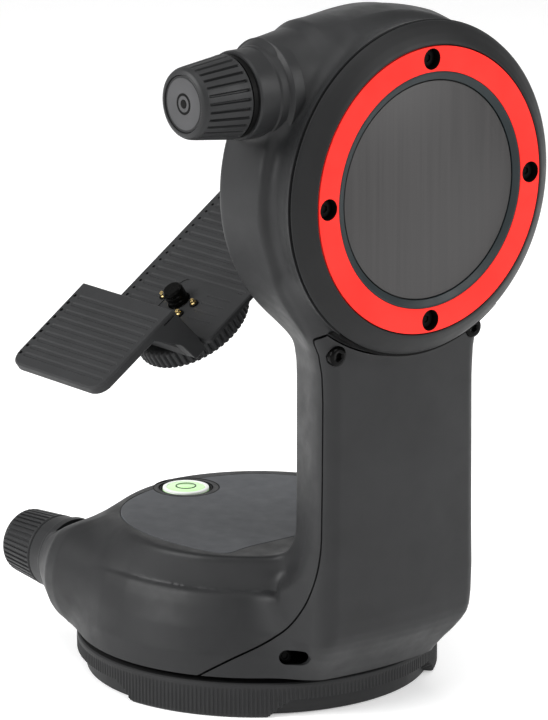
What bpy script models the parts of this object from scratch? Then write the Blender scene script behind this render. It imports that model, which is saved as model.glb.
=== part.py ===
"""Two-axis pan and tilt instrument head on a round tripod base, with a ribbed cradle for a handheld meter.

All lengths below are millimetres, measured from the plane the feet rest on. The whole model hangs from one
empty that lowers it, so that the world origin is the floor of the tripod socket, on the vertical axis.
"""

import math

import bmesh
import bpy
from mathutils import Matrix, Vector

MM = 0.001
GAP = 0.3  # clearance between neighbouring pieces

# Vertical axis: base, tripod socket and spindle
SOCKET_DEPTH = 8.0
SOCKET_R = 3.175  # 1/4 inch tripod screw
BASE_R = 53.0
BASE_TOP = 10.2
BASE_BAND_R = 50.2
BASE_BAND_TOP = 4.6
BASE_BAND_BOTTOM = 0.4
BASE_WALL_R = 47.0
FOOT_R = 52.7
FOOT_INNER_R = 48.2
FOOT_ARC = math.radians(46.5)
FOOT_SLANT = math.radians(8.0)
FOOT_FIRST = math.radians(-59.0)
BUSH_FLANGE_R = 10.5
SPINDLE_R = 8.0
SPINDLE_TOP = 43.2
BASE_SCREW_CIRCLE = 36.0
CODE_DISC_R = 24.0

# Turret: round skirt and tier, then the single arm
TURRET_BOTTOM = 12.0
TURRET_R = 53.0
TIER_R = 45.0
TIER_FOOT = 35.5
DECK_Z = 45.0
PANEL_R = 40.0
PANEL_CHORD_X = 25.5
PANEL_THICK = 1.2
WALL = 2.2
VIAL_X = -33.4
VIAL_R = 7.0
VIAL_BEZEL_R = 8.3
ARM_INNER_X = 44.0
ARM_INNER_HALF = 21.5
ARM_PARTING_X = 62.0
ARM_OUTER_X = 65.5
ARM_CROWN = 1.6
ARM_HALF = 27.5
ARM_SHOULDER = 2.6
COVER_SCREW_Y = 25.2
COVER_SCREW_Z = 109.9
FOOT_SCREW_Y = 24.3
FOOT_SCREW_Z = 18.1

# Head: a drum on the tilt axis, closed by a domed cap
TILT_Z = 154.75
HEAD_R = 47.5
HEAD_INNER_X = 43.5
HEAD_CREASE_X = 60.0
HEAD_WALL_X = 45.4
HEAD_HOLLOW_R = 43.0
CAP_R = 46.6
CAP_EDGE_X = 71.2
CAP_FLANGE_X = 67.0
CAP_FACE_X = 76.04
CAP_FLOOR_X = 73.6  # the rings and the plate sit GAP above this floor
HEAD_BEARING_R = 12.3
TILT_SLEEVE_R = 7.0
TILT_SHAFT_R = 5.0
RED_RING_R = (33.1, 40.05)
INNER_RING_R = (30.6, 33.0)
PLATE_R = 30.4
RING_HOLE_PCR = 36.67
RING_HOLE_R = 3.0

# Fine drives: one worm design used twice, with a wheel of its own for each axis
MODULE = 1.28
AZIMUTH_TEETH, TILT_TEETH = 40, 38
WORM_PITCH_R = 5.0
ADDENDUM = 1.25
DEDENDUM = 1.55
TOOTH_HALF = 0.875
FLANK = math.tan(math.radians(20.0))
WHEEL_WIDTH = 6.0
WORM_HALF_LENGTH = 9.0
AZIMUTH_OFFSET = WORM_PITCH_R + MODULE * AZIMUTH_TEETH / 2
TILT_OFFSET = WORM_PITCH_R + MODULE * TILT_TEETH / 2
LEAD = math.pi * MODULE
LEAD_TAN = LEAD / (2 * math.pi * WORM_PITCH_R)
AZIMUTH_DRIVE_Z = 25.6
TILT_DRIVE_X = 52.0
WORM_SHAFT_R = 2.6
WORM_BUSH_R = 6.0
KNOB_WALL = 2.2
KNOB_FLOOR = 3.0
KNOB_FLUTES = 28

# Cradle, drawn level: x across, s along, h up from the tilt axis, then leaned back by CRADLE_LEAN
CRADLE_LEAN = math.radians(34.6)
PLATE_X = (-23.0, 23.5)
PLATE_S = (-57.0, 50.0)
PLATE_H = -17.7
PLATE_THICK = 4.0
PLATE_SKIN = 1.5  # left over the clamp wheel and along the sides
PLATE_CORE_X = 18.2
PLATE_RELIEF_S = (-54.8, -27.0)
RIB_PITCH = 2.95
RIB_DEPTH = 0.7
STUD_X, STUD_S = 0.0, -46.8
STUD_PROUD = 4.7
PIN_SPOTS = ((6.5, -46.4), (4.7, -51.2))
PIN_R = 0.9
PIN_LOW, PIN_HIGH = -20.4, -16.4
CLAMP_R = 17.8
CLAMP_H = (-28.0, -22.0)
SHELF_HALF = 20.7
SHELF_S = (-92.2, -59.4)
SHELF_H = -3.9
SHELF_THICK = 3.0
SHELF_PIVOT = (-59.5, -19.7)
SHELF_LEG_X = 16.5
SHELF_PIN_R = 0.75
CRADLE_SCREW_X = 12.0
BRACKET_X = (31.0, 43.2)

FINE, MEDIUM, COARSE = 40, 18, 10
START_ANGLE = 0.11  # turned cutters start off the axes, so that no two edges meet

COLOURS = {  # name: colour, roughness, metallic
    "graphite": ((0.052, 0.053, 0.056), 0.55, 0.0),
    "black_plastic": ((0.012, 0.012, 0.013), 0.45, 0.0),
    "deck_grey": ((0.095, 0.102, 0.115), 0.5, 0.0),
    "signal_red": ((0.82, 0.045, 0.04), 0.4, 0.0),
    "face_grey": ((0.06, 0.057, 0.057), 0.35, 0.6),
    "steel": ((0.55, 0.56, 0.58), 0.3, 1.0),
    "brass": ((0.78, 0.57, 0.27), 0.3, 1.0),
    "white_plastic": ((0.8, 0.82, 0.78), 0.4, 0.0),
    "vial_green": ((0.55, 0.85, 0.45), 0.08, 0.0),
    "board_green": ((0.02, 0.13, 0.05), 0.5, 0.0),
    "code_glass": ((0.5, 0.55, 0.58), 0.1, 0.0),
}


def material(name):
    found = bpy.data.materials.get(name)
    if found:
        return found
    colour, roughness, metallic = COLOURS[name]
    made = bpy.data.materials.new(name)
    made.use_nodes = True
    shader = made.node_tree.nodes["Principled BSDF"]
    shader.inputs["Base Color"].default_value = (*colour, 1.0)
    shader.inputs["Roughness"].default_value = roughness
    shader.inputs["Metallic"].default_value = metallic
    return made


def empty(name, parent=None, place=(0, 0, 0), turn=(0, 0, 0)):
    """A joint's frame: place in mm under its parent, turn as Euler angles in radians."""
    made = bpy.data.objects.new(name, None)
    bpy.context.scene.collection.objects.link(made)
    made.parent = parent
    made.location = Vector(place) * MM
    made.rotation_euler = turn
    return made


def node(name, bm, finish, parent):
    """Turns a bmesh drawn in mm into a named, shaded object in its parent's frame."""
    bmesh.ops.recalc_face_normals(bm, faces=bm.faces)
    bmesh.ops.scale(bm, vec=(MM, MM, MM), verts=bm.verts)
    mesh = bpy.data.meshes.new(name)
    bm.to_mesh(mesh)
    bm.free()
    mesh.shade_smooth()
    mesh.set_sharp_from_angle(angle=math.radians(35))
    made = bpy.data.objects.new(name, mesh)
    bpy.context.scene.collection.objects.link(made)
    made.parent = parent
    mesh.materials.append(material(finish))
    return made


def guide(name, bm, parent):
    """A hidden solid that only shapes other pieces."""
    made = node(name, bm, "graphite", parent)
    made.hide_render = True
    made.display_type = "WIRE"
    return made


def combine(target, operation, *tools, solver="EXACT"):
    for tool in tools:
        step = target.modifiers.new(f"{operation.lower()}_{tool.name}", "BOOLEAN")
        step.operation = operation
        step.object = tool
        step.solver = solver
    return target


def cut(target, *tools, solver="EXACT"):
    return combine(target, "DIFFERENCE", *tools, solver=solver)


def turned(profile, steps=MEDIUM):
    """Spins (radius, height) points about Z. A profile off the axis closes into a ring."""
    bm = bmesh.new()
    verts = [bm.verts.new((r, 0, z)) for r, z in profile]
    pairs = list(zip(verts, verts[1:]))
    if profile[0][0] > 0 and profile[-1][0] > 0:
        pairs.append((verts[-1], verts[0]))
    edges = [bm.edges.new(pair) for pair in pairs]
    bmesh.ops.spin(bm, geom=verts + edges, cent=(0, 0, 0), axis=(0, 0, 1), angle=2 * math.pi,
                   steps=steps, use_merge=True, use_duplicate=False)
    bmesh.ops.remove_doubles(bm, verts=bm.verts, dist=1e-4)
    return bm


def disc(r, z0, z1, steps=MEDIUM, chamfer=0.0):
    """A solid disc, with its upper edge chamfered."""
    rim = [(r, z1)] if chamfer == 0 else [(r, z1 - chamfer), (r - chamfer, z1)]
    return turn(turned([(0, z0), (r, z0), *rim, (0, z1)], steps), START_ANGLE, "Z")


def ring(r0, r1, z0, z1, steps=MEDIUM):
    return turned([(r0, z0), (r1, z0), (r1, z1), (r0, z1)], steps)


def move(bm, offset):
    bmesh.ops.translate(bm, vec=offset, verts=bm.verts)
    return bm


def turn(bm, angle, axis):
    bmesh.ops.rotate(bm, cent=(0, 0, 0), matrix=Matrix.Rotation(angle, 3, axis), verts=bm.verts)
    return bm


def to_x(bm):
    """Lays a piece turned about Z along X."""
    return turn(bm, math.pi / 2, "Y")


def prism(points, low, high, axis="Z"):
    """Extrudes a closed outline. About X the outline is (y, z), about Y it is (x, z), about Z (x, y)."""
    place = {
        "X": lambda a, b, c: (c, a, b),
        "Y": lambda a, b, c: (a, c, b),
        "Z": lambda a, b, c: (a, b, c),
    }[axis]
    bm = bmesh.new()
    face = bm.faces.new([bm.verts.new(place(a, b, low)) for a, b in points])
    grown = bmesh.ops.extrude_face_region(bm, geom=[face])
    top = [v for v in grown["geom"] if isinstance(v, bmesh.types.BMVert)]
    bmesh.ops.translate(bm, vec=place(0, 0, high - low), verts=top)
    return bm


def box(x, y, z):
    return prism([(x[0], y[0]), (x[1], y[0]), (x[1], y[1]), (x[0], y[1])], z[0], z[1])


def arc(cx, cy, r, start, end, steps):
    angles = [math.radians(start + (end - start) * i / steps) for i in range(steps + 1)]
    return [(cx + r * math.cos(a), cy + r * math.sin(a)) for a in angles]


def rounded_box(x, y, z, radius, steps=4):
    corners = [((x[1], y[1]), 0), ((x[0], y[1]), 90), ((x[0], y[0]), 180), ((x[1], y[0]), 270)]
    outline = []
    for (cx, cy), start in corners:
        inward_x = cx - math.copysign(radius, cx - sum(x) / 2)
        inward_y = cy - math.copysign(radius, cy - sum(y) / 2)
        outline += arc(inward_x, inward_y, radius, start, start + 90, steps)
    return prism(outline, *z)


def stack(rings):
    """Joins equal rings of 3-D points into one closed skin with flat ends."""
    bm = bmesh.new()
    rows = [[bm.verts.new(point) for point in points] for points in rings]
    count = len(rows[0])
    for lower, upper in zip(rows, rows[1:]):
        for i in range(count):
            j = (i + 1) % count
            bm.faces.new((lower[i], lower[j], upper[j], upper[i]))
    bm.faces.new(list(reversed(rows[0])))
    bm.faces.new(rows[-1])
    return bm


def between(table, z):
    """Straight-line lookup in a short table of (height, value)."""
    if z <= table[0][0]:
        return table[0][1]
    for (z0, a), (z1, b) in zip(table, table[1:]):
        if z <= z1:
            return a + (b - a) * (z - z0) / (z1 - z0)
    return table[-1][1]


def screw(head_r, head_h, shank_r, length, steps=6):
    """A cap screw with a hexagon socket: head underside at z = 0, shank pointing down."""
    return turned([(0, -length), (shank_r, -length), (shank_r, 0), (head_r, 0), (head_r, head_h * 0.8),
                   (head_r * 0.9, head_h), (head_r * 0.5, head_h), (head_r * 0.5, head_h * 0.45),
                   (0, head_h * 0.45)], steps)


# ---------------------------------------------------------------- gears


def worm_wheel(teeth, gap_angle, bore_r, hub_r, hub_half):
    """A helical wheel about Z, centred on z = 0, with a tooth gap facing gap_angle at mid width."""
    layers = []
    pitch_r = MODULE * teeth / 2
    for z in (-WHEEL_WIDTH / 2, WHEEL_WIDTH / 2):
        twist = LEAD_TAN * z / pitch_r
        points = []
        for tooth in range(teeth):
            middle = gap_angle + twist + (tooth + 0.5) * 2 * math.pi / teeth
            for side, height in ((-1, -DEDENDUM), (-1, ADDENDUM), (1, ADDENDUM), (1, -DEDENDUM)):
                r = pitch_r + height
                a = middle + side * (TOOTH_HALF - FLANK * height) / r
                points.append((r * math.cos(a), r * math.sin(a), z))
        layers.append(points)
    wheel = stack(layers)
    return wheel, ring(bore_r, hub_r, -hub_half, hub_half), disc(bore_r, -20, 20)


def worm_thread(mesh_angle, steps=COARSE):
    """A right-handed thread about Z whose crest crosses z = 0 where it faces mesh_angle."""
    inner = WORM_PITCH_R - DEDENDUM - 0.5
    outer = WORM_PITCH_R + ADDENDUM
    half_in = TOOTH_HALF + FLANK * (WORM_PITCH_R - inner)
    half_out = TOOTH_HALF - FLANK * ADDENDUM
    turns = 2 * (WORM_HALF_LENGTH - half_in) / LEAD
    count = round(turns * steps)
    rows = []
    for i in range(count + 1):
        a = (i - count / 2) * 2 * math.pi / steps
        z = LEAD * a / (2 * math.pi)
        x, y = math.cos(a + mesh_angle), math.sin(a + mesh_angle)
        section = ((inner, -half_in), (outer, -half_out), (outer, half_out), (inner, half_in))
        rows.append([(r * x, r * y, z + dz) for r, dz in section])
    return stack(rows)


def worm_shaft(name, mesh_angle, knob_end, far_end, parent):
    """The worm and its shaft, turned in one piece about Z, with the knob at +Z."""
    core = WORM_PITCH_R - DEDENDUM
    half = WORM_HALF_LENGTH + 1.0
    made = node(name, turned([
        (0, -far_end), (WORM_SHAFT_R, -far_end), (WORM_SHAFT_R, -half), (core, -half),
        (core, half), (WORM_SHAFT_R, half), (WORM_SHAFT_R, knob_end), (0, knob_end)], COARSE), "steel", parent)
    return combine(made, "UNION", guide(name + "_thread", worm_thread(mesh_angle), parent))


def fluted(r0, r1, z0, z1, depth, flutes=KNOB_FLUTES, chamfer=0.8):
    """A fluted grip about Z that tapers from r0 at z0 to r1 at z1."""
    rows = []
    for z, inset in ((z0, chamfer), (z0 + chamfer, 0), (z1 - chamfer, 0), (z1, chamfer)):
        r = r0 + (r1 - r0) * (z - z0) / (z1 - z0) - inset
        row = []
        for i in range(flutes):
            for share, deep in ((0.0, 0), (0.45, 0), (0.725, 1)):
                a = (i + share) * 2 * math.pi / flutes
                reach = r - deep * max(depth - inset, 0.0)
                row.append((reach * math.cos(a), reach * math.sin(a), z))
        rows.append(row)
    return stack(rows)


def drive(name, teeth, worm_axis, wheel_axis, mesh_angle, gap_angle, wheel_bore, knob_low, knob_high, radii):
    """One fine drive: worm shaft, knob with its end cap, slip wheel and its clutch washer."""
    shaft_end = knob_high - KNOB_FLOOR
    worm_shaft(name + "_worm", mesh_angle, shaft_end, 15.0, worm_axis)
    knob = node(name + "_knob", fluted(*radii, knob_low, knob_high, 0.55), "graphite", worm_axis)
    bore = disc(WORM_SHAFT_R + GAP, knob_low - 1, shaft_end + GAP, COARSE)
    recess = disc(radii[1] - KNOB_WALL, knob_high - 1.2, knob_high + 1)
    cut(knob, guide(name + "_knob_bore", bore, worm_axis), guide(name + "_knob_recess", recess, worm_axis))
    cap_r = radii[1] - KNOB_WALL - GAP
    low, face, rim, pit = (knob_high + step for step in (-0.9, -0.2, 0.3, -0.3))
    node(name + "_knob_cap", turned([(0, low), (cap_r, low), (cap_r, face), (1.9, face), (1.9, rim), (0.9, rim),
                                     (0.9, pit), (0, pit)], COARSE), "deck_grey", worm_axis)
    blank, hub, bore = worm_wheel(teeth, gap_angle, wheel_bore, 12.0, 4.0)
    wheel = node(name + "_wheel", blank, "brass", wheel_axis)
    combine(wheel, "UNION", guide(name + "_wheel_hub", hub, wheel_axis))
    cut(wheel, guide(name + "_wheel_bore", bore, wheel_axis))
    node(name + "_clutch_washer", ring(wheel_bore, 11.5, 4.0 + GAP, 4.9 + GAP), "steel", wheel_axis)


# ---------------------------------------------------------------- base


def foot(angle):
    """One knurled foot: a slanted-ended sector under the base ring."""
    rows = []
    for z, extra in ((0.0, 0.0), (BASE_BAND_TOP + 1.0, FOOT_SLANT)):
        half = FOOT_ARC / 2 + extra
        span = [angle - half + 2 * half * i / 8 for i in range(9)]
        outer = [(FOOT_R * math.cos(a), FOOT_R * math.sin(a), z) for a in span]
        inner = [(FOOT_INNER_R * math.cos(a), FOOT_INNER_R * math.sin(a), z) for a in reversed(span)]
        rows.append(outer + inner)
    return stack(rows)


def build_base(root):
    body = node("base_ring", turned([
        (BASE_WALL_R, BASE_BAND_BOTTOM), (BASE_BAND_R - 0.6, BASE_BAND_BOTTOM),
        (BASE_BAND_R, BASE_BAND_TOP), (BASE_R, BASE_BAND_TOP + 0.5),
        (BASE_R, BASE_TOP - 0.5), (BASE_R - 0.5, BASE_TOP),
        (SPINDLE_R + GAP, BASE_TOP), (SPINDLE_R + GAP, BASE_TOP - 3.0), (BASE_WALL_R, BASE_TOP - 3.0)],
        FINE), "graphite", root)
    for i in range(3):
        combine(body, "UNION", guide(f"foot_{i + 1}", foot(FOOT_FIRST + i * 2 * math.pi / 3), root),
                solver="MANIFOLD")
        a = FOOT_FIRST + (i + 0.5) * 2 * math.pi / 3
        spot = (BASE_SCREW_CIRCLE * math.cos(a), BASE_SCREW_CIRCLE * math.sin(a), 0)
        post = guide(f"base_post_{i + 1}", move(disc(3.6, 3.2, BASE_TOP - 2.5, COARSE), spot), root)
        combine(body, "UNION", post, solver="MANIFOLD")
        hole = guide(f"base_hole_{i + 1}", move(disc(1.8, -1, 9.0, COARSE), spot), root)
        sink = guide(f"base_sink_{i + 1}", move(disc(3.1, -1, 2.0, COARSE), spot), root)
        cut(body, hole, solver="MANIFOLD")
        node(f"base_screw_{i + 1}", move(turn(screw(2.8, 0.9, 1.5, 6.3), math.pi, "X"), (*spot[:2], 1.7)),
             "steel", root)
        if i == 0:
            plate = node("base_plate", ring(BUSH_FLANGE_R + GAP, BASE_WALL_R - GAP, 0.9, 2.9, FINE),
                         "black_plastic", root)
        cut(plate, hole, sink, solver="MANIFOLD")
    node("tripod_bush", turned([
        (0, SOCKET_DEPTH), (SOCKET_R, SOCKET_DEPTH), (SOCKET_R, 0),
        (BUSH_FLANGE_R, 0), (BUSH_FLANGE_R, 3.0), (6.5, 3.0), (6.5, 11.5), (0, 11.5)], MEDIUM), "brass", root)
    node("spindle", turned([
        (0, 11.8), (6.5 + GAP, 11.8), (6.5 + GAP, 3.3), (14, 3.3), (14, 6.9), (SPINDLE_R, 6.9),
        (SPINDLE_R, 42.0), (5.5, 42.0), (5.5, SPINDLE_TOP), (0, SPINDLE_TOP)], MEDIUM), "steel", root)
    node("spindle_nut", ring(5.5 + GAP, 10.5, 42.3, SPINDLE_TOP), "steel", root)
    node("azimuth_code_disc", ring(SPINDLE_R + GAP, CODE_DISC_R, 33.2, 34.2), "code_glass", root)


# ---------------------------------------------------------------- turret


SKIRT = ((TURRET_BOTTOM, TURRET_R), (18.0, 52.3), (25.0, 50.3), (31.0, 48.0), (TIER_FOOT, 46.0))
# Pairs of height and value; HEAD_PROFILE is radius and x, COVER_LINE is x and height
ARM_REACH = ((12.0, 52.6), (15.0, 55.5), (20.0, 59.0), (25.0, 61.6), (31.0, 63.8), (37.0, 65.1),
             (43.0, ARM_OUTER_X))
ARM_WIDTH = ((12.0, 23.5), (20.0, 26.5), (29.0, 28.3), (40.0, 28.3), (53.0, 27.6), (96.0, ARM_HALF),
             (104.0, 28.2),
             (110.0, 29.4), (116.0, 32.2), (121.0, 35.2), (126.0, 38.0))
HEAD_PROFILE = ((0.0, HEAD_INNER_X), (HEAD_R - 1.0, HEAD_INNER_X), (HEAD_R, HEAD_INNER_X + 1.0),
                (HEAD_R, HEAD_CREASE_X), (45.6, 62.5), (45.1, 65.0), (45.6, 67.5), (CAP_R, 70.2),
                (CAP_R - 0.5, CAP_EDGE_X), (0.0, CAP_EDGE_X))
COVER_LINE = ((ARM_PARTING_X, 54.0), (60.8, 46.0), (57.5, 38.5), (52.0, 31.5), (45.5, 25.5), (38.0, 19.5),
              (26.5, 10.8))


def arm_solid(inset, z_low, z_high):
    """The arm as a lofted post, drawn in by inset on its outside."""
    levels = [z for z, _ in ARM_REACH] + [z for z, _ in ARM_WIDTH]
    levels = sorted({z_low, z_high} | {z for z in levels if z_low < z < z_high})
    rows = []
    for z in levels:
        reach = between(ARM_REACH, z) - inset
        half = between(ARM_WIDTH, z) - inset
        parting = reach - (ARM_OUTER_X - ARM_PARTING_X)
        inner_x = min(ARM_INNER_X, parting - 6) + inset
        inner_half = ARM_INNER_HALF * half / (ARM_HALF - inset)
        near = [(inner_x, inner_half), (parting, half), (reach, half - ARM_SHOULDER),
                (reach + ARM_CROWN * 0.75, half * 0.45), (reach + ARM_CROWN, 0)]
        outline = near + [(x, -y) for x, y in reversed(near[:-1])]
        rows.append([(x, y, z) for x, y in outline])
    return stack(rows)


def skirt_profile(inset):
    return [(r - inset, z) for z, r in SKIRT]


def drum(r, x0, x1, steps=FINE):
    """A solid cylinder on the tilt axis."""
    return move(to_x(disc(r, x0, x1, steps)), (0, 0, TILT_Z))


def sunk_screw(name, place, axis_turn, length, parent):
    bm = screw(2.9, 1.8, 1.4, length)
    bmesh.ops.rotate(bm, cent=(0, 0, 0), matrix=axis_turn, verts=bm.verts)
    return node(name, move(bm, place), "black_plastic", parent)


def build_housing(root):
    outer_skirt = guide("skirt_solid", turned(
        [(0, TURRET_BOTTOM), *skirt_profile(0), (TIER_R, TIER_FOOT + 0.8), (TIER_R, DECK_Z - 0.8),
         (TIER_R - 0.8, DECK_Z), (0, DECK_Z)], FINE), root)
    arm = guide("arm_solid", arm_solid(0, TURRET_BOTTOM, 128.0), root)
    spout = guide("spout_solid", move(turn(turned(
        [(0, 20), (13.2, 20), (13.2, 40.5), (11.6, 46), (10.9, 55.7), (10.3, 56.3), (0, 56.3)]),
        -math.pi / 2, "Y"), (0, -AZIMUTH_OFFSET, AZIMUTH_DRIVE_Z)), root)
    collar = guide("collar_solid", move(turn(turned(
        [(0, 12), (18.0, 12), (17.8, 26), (16.1, 29.5), (14.7, 40.5), (12.8, 43.2), (12.4, 49.8), (12.0, 50.3),
         (11.2, 50.3), (11.2, 52.0), (0, 52.0)]),
        math.pi / 2, "X"), (TILT_DRIVE_X, 0, TILT_Z + TILT_OFFSET)), root)
    collar_trim = guide("collar_trim", drum(60, HEAD_CREASE_X, 80), root)
    cut(collar, collar_trim, guide("collar_face_trim", drum(60, 20, HEAD_INNER_X), root))

    hollow = guide("skirt_hollow", turned(
        [(0, TURRET_BOTTOM - 1), (TURRET_R - WALL, TURRET_BOTTOM - 1), *skirt_profile(WALL)[1:],
         (TIER_R - 2.4, TIER_FOOT + 1.5), (TIER_R - 2.4, DECK_Z - 2.4), (0, DECK_Z - 2.4)], FINE), root)
    panel_seat = guide("panel_seat", panel_shape(PANEL_R + GAP, PANEL_CHORD_X + GAP,
                                                 DECK_Z - PANEL_THICK - 0.1, DECK_Z + 5), root)
    panel_opening = guide("panel_opening", panel_shape(PANEL_R - 1.8, PANEL_CHORD_X - 1.8,
                                                       DECK_Z - 5, DECK_Z + 5), root)
    vial_hole = guide("vial_hole", move(disc(VIAL_BEZEL_R + GAP, DECK_Z - 6, DECK_Z + 5), (VIAL_X, 0, 0)),
                      root)
    arm_hollow = guide("arm_hollow", arm_solid(2.3, 40.0, 124.0), root)
    arm_duct = guide("arm_duct", arm_solid(3.5, 16.0, 40.5), root)
    head_hollow = guide("head_hollow", drum(HEAD_HOLLOW_R, HEAD_WALL_X, 90), root)
    bearing_hole = guide("bearing_hole", drum(HEAD_BEARING_R + GAP, 30, 60, MEDIUM), root)
    tilt_bore = disc(WORM_BUSH_R + GAP, 20, 60, COARSE)
    tilt_worm_bore = guide("tilt_worm_bore", move(turn(tilt_bore, math.pi / 2, "X"),
                                                  (TILT_DRIVE_X, 0, TILT_Z + TILT_OFFSET)), root)
    azimuth_bore = disc(WORM_BUSH_R + GAP, 20, 60, COARSE)
    azimuth_worm_bore = guide("azimuth_worm_bore", move(turn(azimuth_bore, -math.pi / 2, "Y"),
                                                        (0, -AZIMUTH_OFFSET, AZIMUTH_DRIVE_Z)), root)

    above = [(ARM_PARTING_X, 215)] + list(COVER_LINE) + [(90, 10.8), (90, 215)]
    cover_side = guide("cover_side", prism(above, -80, 80, "Y"), root)
    shifted = [(x + GAP, z - GAP) for x, z in above]
    cover_room = guide("cover_room", prism(shifted, -80, 80, "Y"), root)
    cap_room = guide("cap_room", drum(CAP_R + 0.6, 55, 90), root)
    head = guide("head_solid", move(to_x(turned(HEAD_PROFILE, FINE)), (0, 0, TILT_Z)), root)

    housing = node("turret_housing", turned(
        [(0, TURRET_BOTTOM), *skirt_profile(0), (TIER_R, TIER_FOOT + 0.8), (TIER_R, DECK_Z - 0.8),
         (TIER_R - 0.8, DECK_Z), (0, DECK_Z)], FINE), "graphite", root)
    combine(housing, "UNION", arm, spout, collar, solver="MANIFOLD")
    cut(housing, cover_side, solver="MANIFOLD")
    combine(housing, "UNION", head, solver="MANIFOLD")
    cut(housing, hollow, panel_seat, panel_opening, vial_hole, arm_duct, arm_hollow, head_hollow,
        bearing_hole, tilt_worm_bore, azimuth_worm_bore, solver="MANIFOLD")

    cover = node("arm_cover", arm_solid(0, TURRET_BOTTOM, 128.0), "graphite", root)
    combine(cover, "UNION", outer_skirt)
    combine(cover, "INTERSECT", cover_room)
    cut(cover, cap_room, hollow, arm_duct, arm_hollow)

    screw_spots = []
    for i, side in enumerate((-1, 1)):
        place = (ARM_OUTER_X - 1.6, side * (COVER_SCREW_Y - 2.2), COVER_SCREW_Z)
        screw_spots.append((f"arm_screw_{i + 1}", place, Matrix.Rotation(math.pi / 2, 3, "Y"), 7.0))
    lean = math.radians(64)
    for i, side in enumerate((-1, 1)):
        a = side * math.atan2(FOOT_SCREW_Y, 45.1)
        toward = Matrix.Rotation(a, 3, "Z") @ Matrix.Rotation(lean, 3, "Y")
        place = Vector((49.5 * math.cos(a), 49.5 * math.sin(a), FOOT_SCREW_Z))
        screw_spots.append((f"arm_screw_{i + 3}", place, toward, 4.0))
    for name, place, toward, length in screw_spots:
        sunk_screw(name, place, toward, length, root)
        bm = turned([(0, -12), (1.7, -12), (1.7, -GAP), (3.2, -GAP), (3.2, 12), (0, 12)], COARSE)
        bmesh.ops.rotate(bm, cent=(0, 0, 0), matrix=toward, verts=bm.verts)
        well = guide(name + "_well", move(bm, place), root)
        cut(cover, well)
        cut(housing, well, solver="MANIFOLD")

    node("turret_floor", turned([(15.0, 12.3), (TURRET_R - WALL - 1.2, 12.3), (TURRET_R - WALL - 1.2, 14.3),
                                 (18.0, 14.3), (18.0, 18.0), (15.0, 18.0)], MEDIUM), "black_plastic", root)


def panel_shape(r, chord_x, z0, z1):
    """A round plate with one straight edge facing the arm."""
    limit = math.degrees(math.acos(chord_x / r))
    return prism(arc(0, 0, r, limit, 360 - limit, 40), z0, z1)


def build_deck(root):
    panel = node("deck_panel", panel_shape(PANEL_R, PANEL_CHORD_X, DECK_Z - PANEL_THICK, DECK_Z), "deck_grey",
                 root)
    cut(panel, bpy.data.objects["vial_hole"])
    cup_r = VIAL_R + GAP
    cup = turned([(0, 39.6), (7.9, 39.6), (7.9, 44.0), (cup_r, 44.0), (cup_r, 41.0), (0, 41.0)], MEDIUM)
    node("vial_cup", move(cup, (VIAL_X, 0, 0)), "white_plastic", root)
    floor = 41.0 + GAP
    glass = turned([(0, floor), (VIAL_R, floor), (VIAL_R, 44.9), (5.5, 45.35), (3, 45.6), (0, 45.7)], MEDIUM)
    node("vial_glass", move(glass, (VIAL_X, 0, 0)), "vial_green", root)
    node("vial_bezel", move(ring(VIAL_R + GAP, VIAL_BEZEL_R, 44.0 + GAP, 45.8), (VIAL_X, 0, 0)),
         "black_plastic", root)
    bridge = node("bearing_bridge", rounded_box((-18, 18), (-38, 38), (38.0, 40.0), 3), "steel", root)
    cut(bridge, guide("bridge_bore", disc(15.0 + GAP, 30, 50), root))
    node("azimuth_bearing_lower", ring(SPINDLE_R + GAP, 14.7, 12.6, 17.6), "steel", root)
    node("azimuth_bearing_upper", ring(SPINDLE_R + GAP, 15.0, 37.0, 41.5), "steel", root)
    node("azimuth_reader_board", box((-9, 9), (16.5, 32), (35.4, 36.8)), "board_green", root)
    azimuth_bush = turn(ring(WORM_SHAFT_R + GAP, WORM_BUSH_R, 45, 53, COARSE), -math.pi / 2, "Y")
    node("azimuth_worm_bush", move(azimuth_bush, (0, -AZIMUTH_OFFSET, AZIMUTH_DRIVE_Z)), "brass", root)
    tilt_bush = turn(ring(WORM_SHAFT_R + GAP, WORM_BUSH_R, 36.5, 44.5, COARSE), math.pi / 2, "X")
    node("tilt_worm_bush", move(tilt_bush, (TILT_DRIVE_X, 0, TILT_Z + TILT_OFFSET)), "brass", root)


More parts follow.
